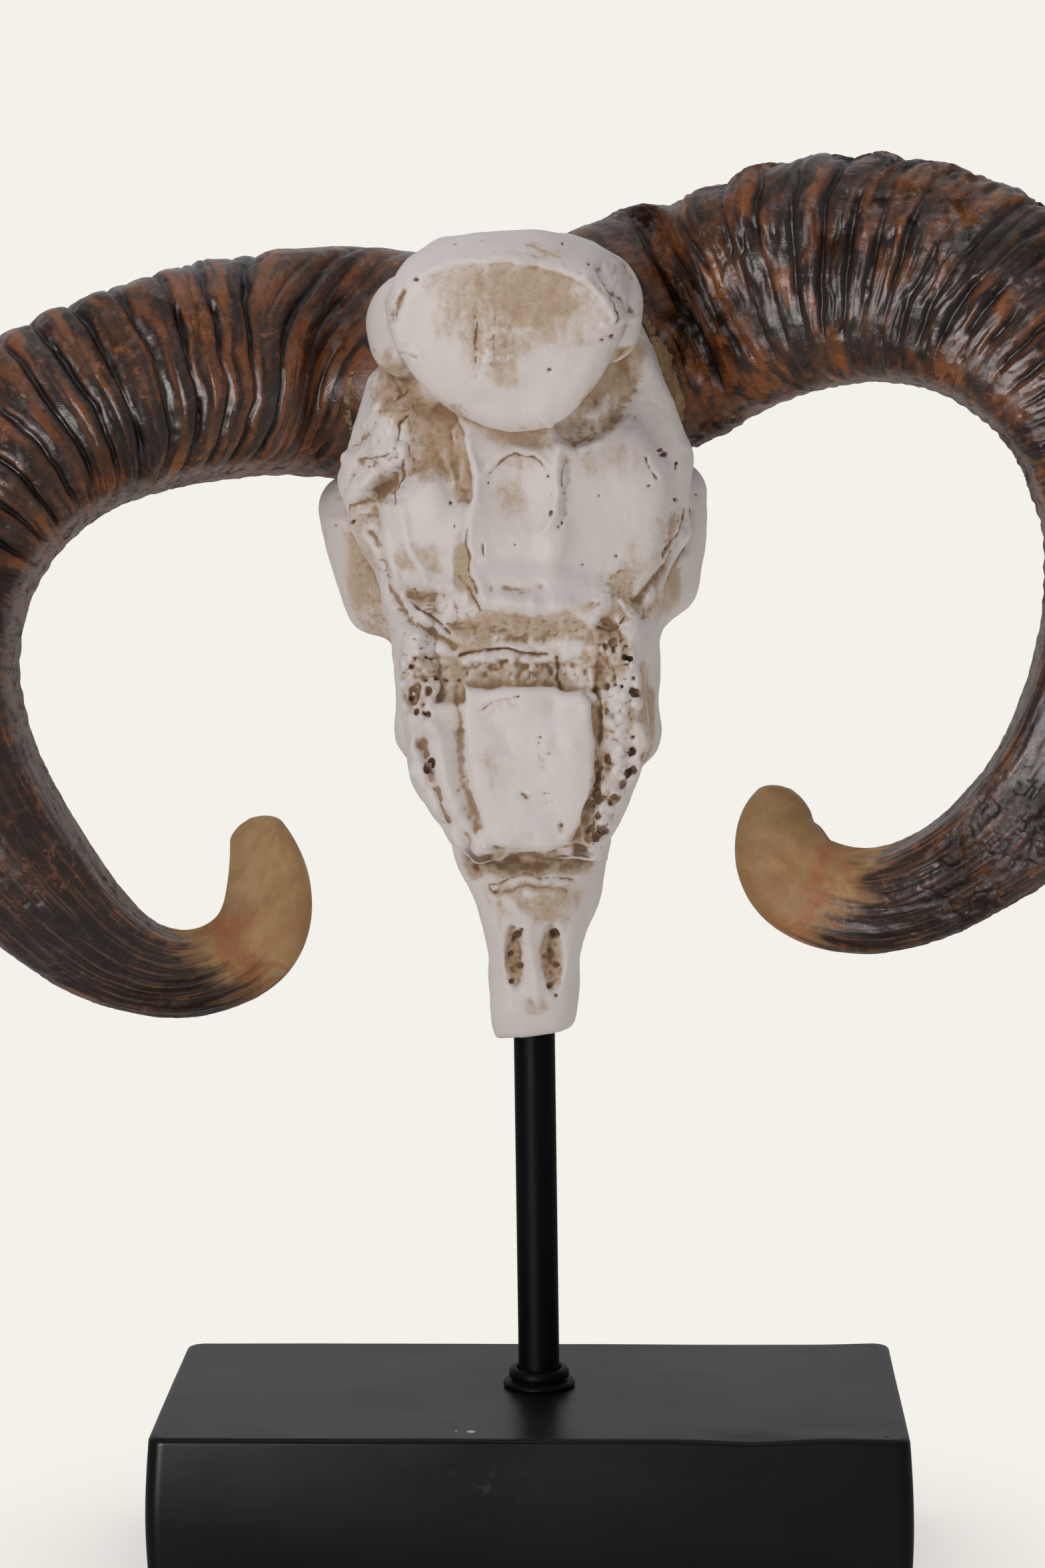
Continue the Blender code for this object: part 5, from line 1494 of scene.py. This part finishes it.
class Nodes:
    """Short calls for building the nodes of a material or of the world."""

    def __init__(self, owner):
        self.owner = owner
        owner.use_nodes = True
        self.tree = owner.node_tree
        self.tree.nodes.clear()

    def add(self, kind, inputs=(), output=0, **settings):
        """A new node with these inputs and settings, as one of its outputs."""
        node = self.tree.nodes.new("ShaderNode" + kind)
        for key, value in settings.items():
            setattr(node, key, value)
        for key, value in dict(inputs).items():
            target = node.inputs[key]
            if isinstance(value, Value):
                self.tree.links.new(value.output, target)
            else:
                target.default_value = (*value, 1.0) if target.type == "RGBA" else value
        return Value(self, node.outputs[output]) if node.outputs else None

    def attributes(self, *names):
        return [self.add("Attribute", output="Fac", attribute_name=name) for name in names]

    def noise(self, scale, detail, rough, distort=0.0, stretch=None, turn=0):
        place = self.add("TexCoord", output="Object")
        if turn:
            place = self.add("Mapping", {"Vector": place, "Rotation": (0, math.radians(turn), 0)})
        if stretch:
            place = self.add("Mapping", {"Vector": place, "Scale": stretch})
        inputs = {"Vector": place, "Scale": scale, "Detail": detail, "Roughness": rough}
        inputs["Distortion"] = distort
        return self.add("TexNoise", inputs, "Fac")

    def near(self, place, radius):
        """1 within this many millimetres of a place in metres, with an uneven edge."""
        own_place = self.add("TexCoord", output="Object")
        gap = self.add("VectorMath", {0: own_place, 1: place}, "Value", operation="DISTANCE")
        return (gap + self.noise(900, 2, 0.6) * 0.0012).span(radius * 0.0013, radius * 0.0010)

    def math(self, operation, first, second, clamp=False):
        return self.add("Math", {0: first, 1: second}, operation=operation, use_clamp=clamp)

    def mix(self, share, first, second):
        return self.add("Mix", {0: share, 6: first, 7: second}, 2, data_type="RGBA")

    def screens(self, share, first, second):
        """One screen colour fading into another."""
        return self.mix(share, linear(first), linear(second))

    def bumps(self, *layers):
        """A normal from layers of (height, strength, distance), laid over each other."""
        normal = None
        for height, strength, distance in layers:
            inputs = {"Height": height, "Strength": strength, "Distance": distance}
            if normal:
                inputs["Normal"] = normal
            normal = self.add("Bump", inputs)
        return normal

    def glossy_strength(self, least):
        """1, or less where a glossy surface mirrors it, as behind a studio's black flags."""
        mirrored = self.add("LightPath", output="Is Glossy Ray")
        return self.add("MapRange", {"Value": mirrored, "To Min": 1.0, "To Max": least})

    def surface(self, **inputs):
        """The finished material, with these inputs on its shader."""
        inputs = {key.replace("_", " "): value for key, value in inputs.items()}
        self.add("OutputMaterial", {"Surface": self.add("BsdfPrincipled", inputs)})
        return self.owner


def bone_material():
    """Matt off-white casting with a soft brown wash in hollows, pinholes and scratches, and a painted
    shadow under the plug's edge.
    """
    n = Nodes(bpy.data.materials.new("cast_bone_washed"))
    wash, stain_and_shadow, hollow, crease, fold = n.attributes("wash", "stain_and_shadow", "hollow", "crease", "fold")
    patchy = n.noise(75, 8, 0.72, 0.4)
    fine = n.noise(480, 6, 0.74)
    colour = n.screens(n.noise(28, 5, 0.6).span(0.35, 0.7), (219, 211, 209), (212, 203, 201))
    colour = colour.tinted(fine.span(0.50, 0.78, 0, 0.30), (200, 188, 180))
    # The stain and wash attributes hold brown wash, and also the painted shadow under the plug's edge.
    amount = stain_and_shadow + hollow.span(0.52, 0.90) * 0.34
    amount = amount + fold.span(0.52, 0.95) * 0.35
    amount = amount + crease.span(0.54, 0.90) * 0.15
    amount = amount - fold.span(0.47, 0.20) * 0.30
    uneven = (patchy * 1.2 + fine * 0.45 - 0.825) * amount.span(0.0, 0.30, 0.25, 1.0)
    amount = amount + uneven * 1.15
    colour = colour.tinted(amount.span(0.06, 0.80) * 0.92, (197, 171, 146))
    colour = colour.tinted(amount.span(0.70, 1.45) * 0.85, (171, 139, 104))
    colour = colour.tinted(fine.span(0.50, 0.68) * amount.span(0.25, 0.9) * 0.45, (156, 121, 88))
    colour = colour.tinted(crease.span(0.58, 0.95) * amount.span(0.05, 0.6) * 0.70, (146, 112, 80))
    colour = colour.tinted((wash + (fine - 0.5) * 0.8).span(0.25, 1.0) * 0.88, (116, 86, 58))
    granular = fine.span(0.35, 0.65) * amount.span(0.15, 0.9)
    speck = n.noise(1500, 2, 0.6)
    normal = n.bumps(
        (speck, 0.10, 0.0004), (fine, 0.16, 0.0007), (granular, 0.45, 0.0005), (patchy, 0.12, 0.0012)
    )
    rough = amount.span(0.2, 0.9, 0.52, 0.70)
    return n.surface(Base_Color=colour, Roughness=rough, Normal=normal, Specular_IOR_Level=0.35)


def horn_material():
    """Ridged horn in dark and orange browns, brushed with lilac grey that is partly painted sheen, with a
    painted pale reflection on its underside, pale at its tip, under varnish.
    """
    n = Nodes(bpy.data.materials.new("varnished_horn"))
    dark, height, under, pale, blush = n.attributes("dark", "height", "under", "pale", "blush")
    streak, smooth, worn, stripe, brushed = n.attributes("streak", "smooth", "worn", "stripe", "brushed")
    broad = n.noise(26, 4, 0.6)
    patchy = n.noise(70, 6, 0.70, 0.8)
    mottled = n.noise(240, 6, 0.74)
    level_hairs = n.noise(80, 6, 0.74, stretch=(1.0, 1.0, 6.0))
    slanted_hairs = n.noise(80, 6, 0.74, stretch=(1.0, 1.0, 6.0), turn=45)
    choice = {0: n.noise(16, 2, 0.5).span(0.47, 0.53), 2: level_hairs, 3: slanted_hairs}
    hairs = n.add("Mix", choice, data_type="FLOAT")
    chipped = n.noise(150, 8, 0.80, 0.7)
    chips = chipped * worn.span(0.0, 0.8, 0.30, 1.0)

    tone = stripe * 0.9 + broad * 0.7 - smooth * 0.12
    colour = n.screens(tone.span(0.62, 0.96), (37, 19, 8), (92, 49, 17))
    orange = (patchy + (stripe - 0.5) * 0.9 - smooth * 0.04).span(0.49, 0.67) * height.span(0.30, 0.65)
    colour = colour.tinted(orange * 0.72, (147, 84, 32))
    colour = colour.tinted(mottled.span(0.54, 0.66) * broad.span(0.48, 0.62) * 0.60, (176, 108, 66))
    # Lilac-grey dry-brushed paint on the raised ridges, which also stands in for the varnish's sheen:
    # partly painted sheen.
    film_place = n.noise(34, 6, 0.68, 1.0).span(0.44, 0.58)
    lilac_paint_and_sheen = film_place * hairs.span(0.45, 0.60) * height.span(0.35, 0.70, 0.25, 1.0)
    lilac_paint_and_sheen = lilac_paint_and_sheen * brushed.span(0.35, 0.62, 0.4, 1.0) * worn.span(0.0, 0.7, 0.18, 1.0)
    colour = colour.tinted(lilac_paint_and_sheen, (142, 116, 109))
    colour = colour.tinted(mottled.span(0.47, 0.36) * 0.65, (24, 14, 9))
    colour = colour.tinted(streak.span(0.5, 0.85) * smooth * 0.35, (112, 97, 90))
    # The side below the crest, facing down, is tinted light grey: a painted reflection of the pale floor.
    colour = colour.tinted(under * mottled.span(0.3, 0.6) * 0.90, (142, 130, 125))
    black = dark + (mottled - 0.5) * 0.9
    black = black + chipped.span(0.44, 0.36) * worn.span(0.0, 0.8, 0.25, 0.8)
    colour = colour.tinted(black.span(0.30, 0.90) * 0.92, (14, 9, 8))

    clouds = n.noise(38, 5, 0.6, 0.5)
    tip = n.screens(clouds.span(0.38, 0.64), (197, 159, 113), (166, 128, 86))
    tip = tip.tinted(patchy.span(0.54, 0.70) * 0.45, (140, 110, 76))
    tip = tip.tinted(blush * patchy.span(0.36, 0.60) * 0.85, (172, 104, 68))
    colour = n.mix(pale, colour, tip)

    fine = n.noise(900, 3, 0.6)
    normal = n.bumps(
        (fine, 0.20, 0.0005), (mottled, 0.60, 0.0012), (hairs, 0.50, 0.0012), (chips, 0.80, 0.0025)
    )
    varnish = n.bumps((mottled, 0.22, 0.0010), (hairs, 0.22, 0.0010), (chips, 0.30, 0.0020))
    rough = mottled.span(0.35, 0.7, 0.40, 0.62) + under * 0.10
    coat = (worn.span(0.0, 0.8, 0.75, 0.0) + smooth * 0.4 + film_place).clamped()
    coat = (coat - pale * 0.75 - under * 0.60).clamped()
    gloss = {"Coat_Weight": coat, "Coat_Normal": varnish, "Coat_Roughness": 0.16, "Coat_IOR": 1.6}
    return n.surface(Base_Color=colour, Roughness=rough, Normal=normal, Specular_IOR_Level=0.10, **gloss)


def core_material():
    """Fibrous tan rims under the horns' first rings."""
    n = Nodes(bpy.data.materials.new("fibrous_core"))
    (hollow,) = n.attributes("hollow")
    fibres = n.noise(160, 5, 0.7, stretch=(1.0, 1.0, 0.3))
    colour = n.screens(fibres.span(0.35, 0.65), (160, 130, 94), (122, 92, 60))
    colour = colour.tinted(hollow.span(0.5, 0.9), (88, 64, 42))
    normal = n.bumps((fibres, 0.5, 0.0012), (n.noise(700, 4, 0.6), 0.3, 0.0005))
    return n.surface(Base_Color=colour, Roughness=0.72, Normal=normal)


# Specks of dust on the block: place in metres, radius in mm
SPECKS = (
    ((-0.0190, -0.0510, 0.060), 1.7),
    ((-0.0240, -0.0500, 0.060), 0.9),
    ((0.0690, -0.0560, 0.060), 0.9),
    ((-0.0540, -0.0350, 0.060), 0.7),
    ((-0.1220, -0.0400, 0.060), 0.7),
    ((0.0320, -0.0605, 0.012), 0.9),
)


def block_material():
    """Black satin lacquer over carved wood, with a few scuffs and specks."""
    n = Nodes(bpy.data.materials.new("black_lacquer"))
    (scuff,) = n.attributes("scuff")
    broad = n.noise(9, 4, 0.6)
    grain = n.noise(34, 5, 0.65, stretch=(0.22, 1.0, 1.0))
    colour = n.screens(broad.span(0.35, 0.7), (12, 11, 12), (16, 15, 16))
    colour = colour.tinted(grain.span(0.5, 0.75, 0, 0.35), (34, 29, 28))
    rubbed = scuff * n.noise(120, 5, 0.75).span(0.5, 0.66)
    colour = colour.tinted(rubbed * 0.5, (60, 58, 60))
    for place, size in SPECKS:
        colour = colour.tinted(n.near(place, size), (196, 192, 186))
    normal = n.bumps((grain, 0.10, 0.0010), (n.noise(1100, 3, 0.6), 0.06, 0.0003))
    rough = broad.span(0.3, 0.7, 0.30, 0.38) + rubbed * 0.25
    return n.surface(Base_Color=colour, Roughness=rough, Normal=normal, Specular_IOR_Level=0.19)


def metal_material():
    """Black satin paint on the rod and its flange."""
    n = Nodes(bpy.data.materials.new("black_satin_paint"))
    broad = n.noise(30, 3, 0.6)
    colour = n.screens(broad.span(0.35, 0.65), (9, 9, 10), (13, 12, 13))
    normal = n.bumps((n.noise(1300, 3, 0.6), 0.08, 0.0003))
    rough = broad.span(0.3, 0.7, 0.42, 0.50)
    return n.surface(Base_Color=colour, Roughness=rough, Normal=normal, Specular_IOR_Level=0.07)


# Floor, world and lights


def build_floor():
    """A wide, evenly glowing pale floor, with a painted contact shadow where the block stands."""
    corners = np.array(((-30, -30, 0), (30, -30, 0), (30, 30, 0), (-30, 30, 0)), float)
    floor = add_mesh("floor", corners, np.array([[0, 1, 2, 3]]))
    floor.location.z = -0.0002
    n = Nodes(bpy.data.materials.new("pale_paper"))
    # Darker near the block: a painted contact shadow.
    in_open = n.add("AmbientOcclusion", {"Distance": 0.10}, "AO", samples=8)
    paper = linear(PAPER)
    colour = n.mix(in_open, [0.45 * light for light in paper], paper)
    glow = n.add("Emission", {"Color": colour, "Strength": n.glossy_strength(0.30)})
    n.add("OutputMaterial", {"Surface": glow})
    floor.data.materials.append(n.owner)


def build_world():
    """A plain pale background, and a soft studio round it that is dimmer in front."""
    world = bpy.data.worlds.new("studio")
    bpy.context.scene.world = world
    n = Nodes(world)
    way = n.add("TexCoord", output="Generated")
    above = n.add("SeparateXYZ", {0: way}, "Z").span(-0.1, 0.75, 0.035, 0.22)
    behind = n.add("SeparateXYZ", {0: way}, "Y").span(0.0, 0.6, 0.0, 0.50)
    strength = (above + behind) * n.glossy_strength(0.85)
    studio = n.add("Background", {"Color": (0.98, 0.97, 0.98), "Strength": strength})
    plain = n.add("Background", {"Color": linear(PAPER)})
    seen = n.add("LightPath", output="Is Camera Ray")
    n.add("OutputWorld", {"Surface": n.add("MixShader", {0: seen, 1: studio, 2: plain})})


def add_light(name, place, target, size, power, colour=(1, 1, 1)):
    data = bpy.data.lights.new(name, "AREA")
    data.shape = "RECTANGLE"
    data.size, data.size_y = size
    data.energy = power
    data.color = colour
    light = bpy.data.objects.new(name, data)
    way = Vector(target) - Vector(place)
    light.matrix_world = Matrix.Translation(place) @ way.to_track_quat("-Z", "Y").to_matrix().to_4x4()
    bpy.context.scene.collection.objects.link(light)
    return light


def build_lights():
    """A key light from the left, and two small lights that only the varnish mirrors."""
    middle = (0, 0, 0.33)
    key_place = (-1.15, -1.25, 1.35)
    key = add_light("key", key_place, middle, (0.75, 0.75), 12.3)
    key.visible_glossy = False
    shine = add_light("shine", (-0.60, -1.35, 0.08), (0, 0, 0.40), (0.34, 0.40), 24.0, (1.0, 0.93, 0.93))
    shine.visible_diffuse = False
    glint = add_light("glint", key_place, middle, (0.30, 0.30), 6.0, (1.0, 0.94, 0.94))
    glint.visible_diffuse = False
    add_light("fill", (1.5, -1.3, 0.9), middle, (1.2, 1.2), 1.8)
    add_light("top", (0.0, -0.3, 1.7), middle, (1.2, 1.0), 3.2)


# Build


def put_in_place(piece, material, slot, *nodes):
    """Dresses a piece, hides the parts that it replaces and sets the body that it rides on. The slot is not
    used.
    """
    piece.data.materials.append(material)
    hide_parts(*nodes)
    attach(piece, "root")


def main():
    make_camera()
    build_floor()
    build_world()
    build_lights()
    bpy.context.scene.view_settings.view_transform = "Standard"
    bone, horn, core = bone_material(), horn_material(), core_material()
    block, metal = block_material(), metal_material()
    paired = [f"{part}_{side}" for part in ("orbit", "mastoid") for side in ("left", "right")]
    plugs = ("occipital_plug", "palate_plug", "tooth_row_left", "tooth_row_right")
    put_in_place(build_skull(), bone, "cast_bone", "cranium", "upper_jaw", "muzzle", *paired, *plugs)
    for side in ("left", "right"):
        lengths = [f"horn_{length}_{side}" for length in ("root", "crown", "outer", "lower", "tip")]
        put_in_place(build_horn(side), horn, "horn", *lengths)
        put_in_place(build_core(side), core, "horn_core", f"horn_core_{side}")
    put_in_place(build_base(), block, "base_wood", "base_block")
    put_in_place(build_rod(), metal, "black_metal", "mount_rod")
    put_in_place(build_flange(), metal, "black_metal", "rod_flange")


main()
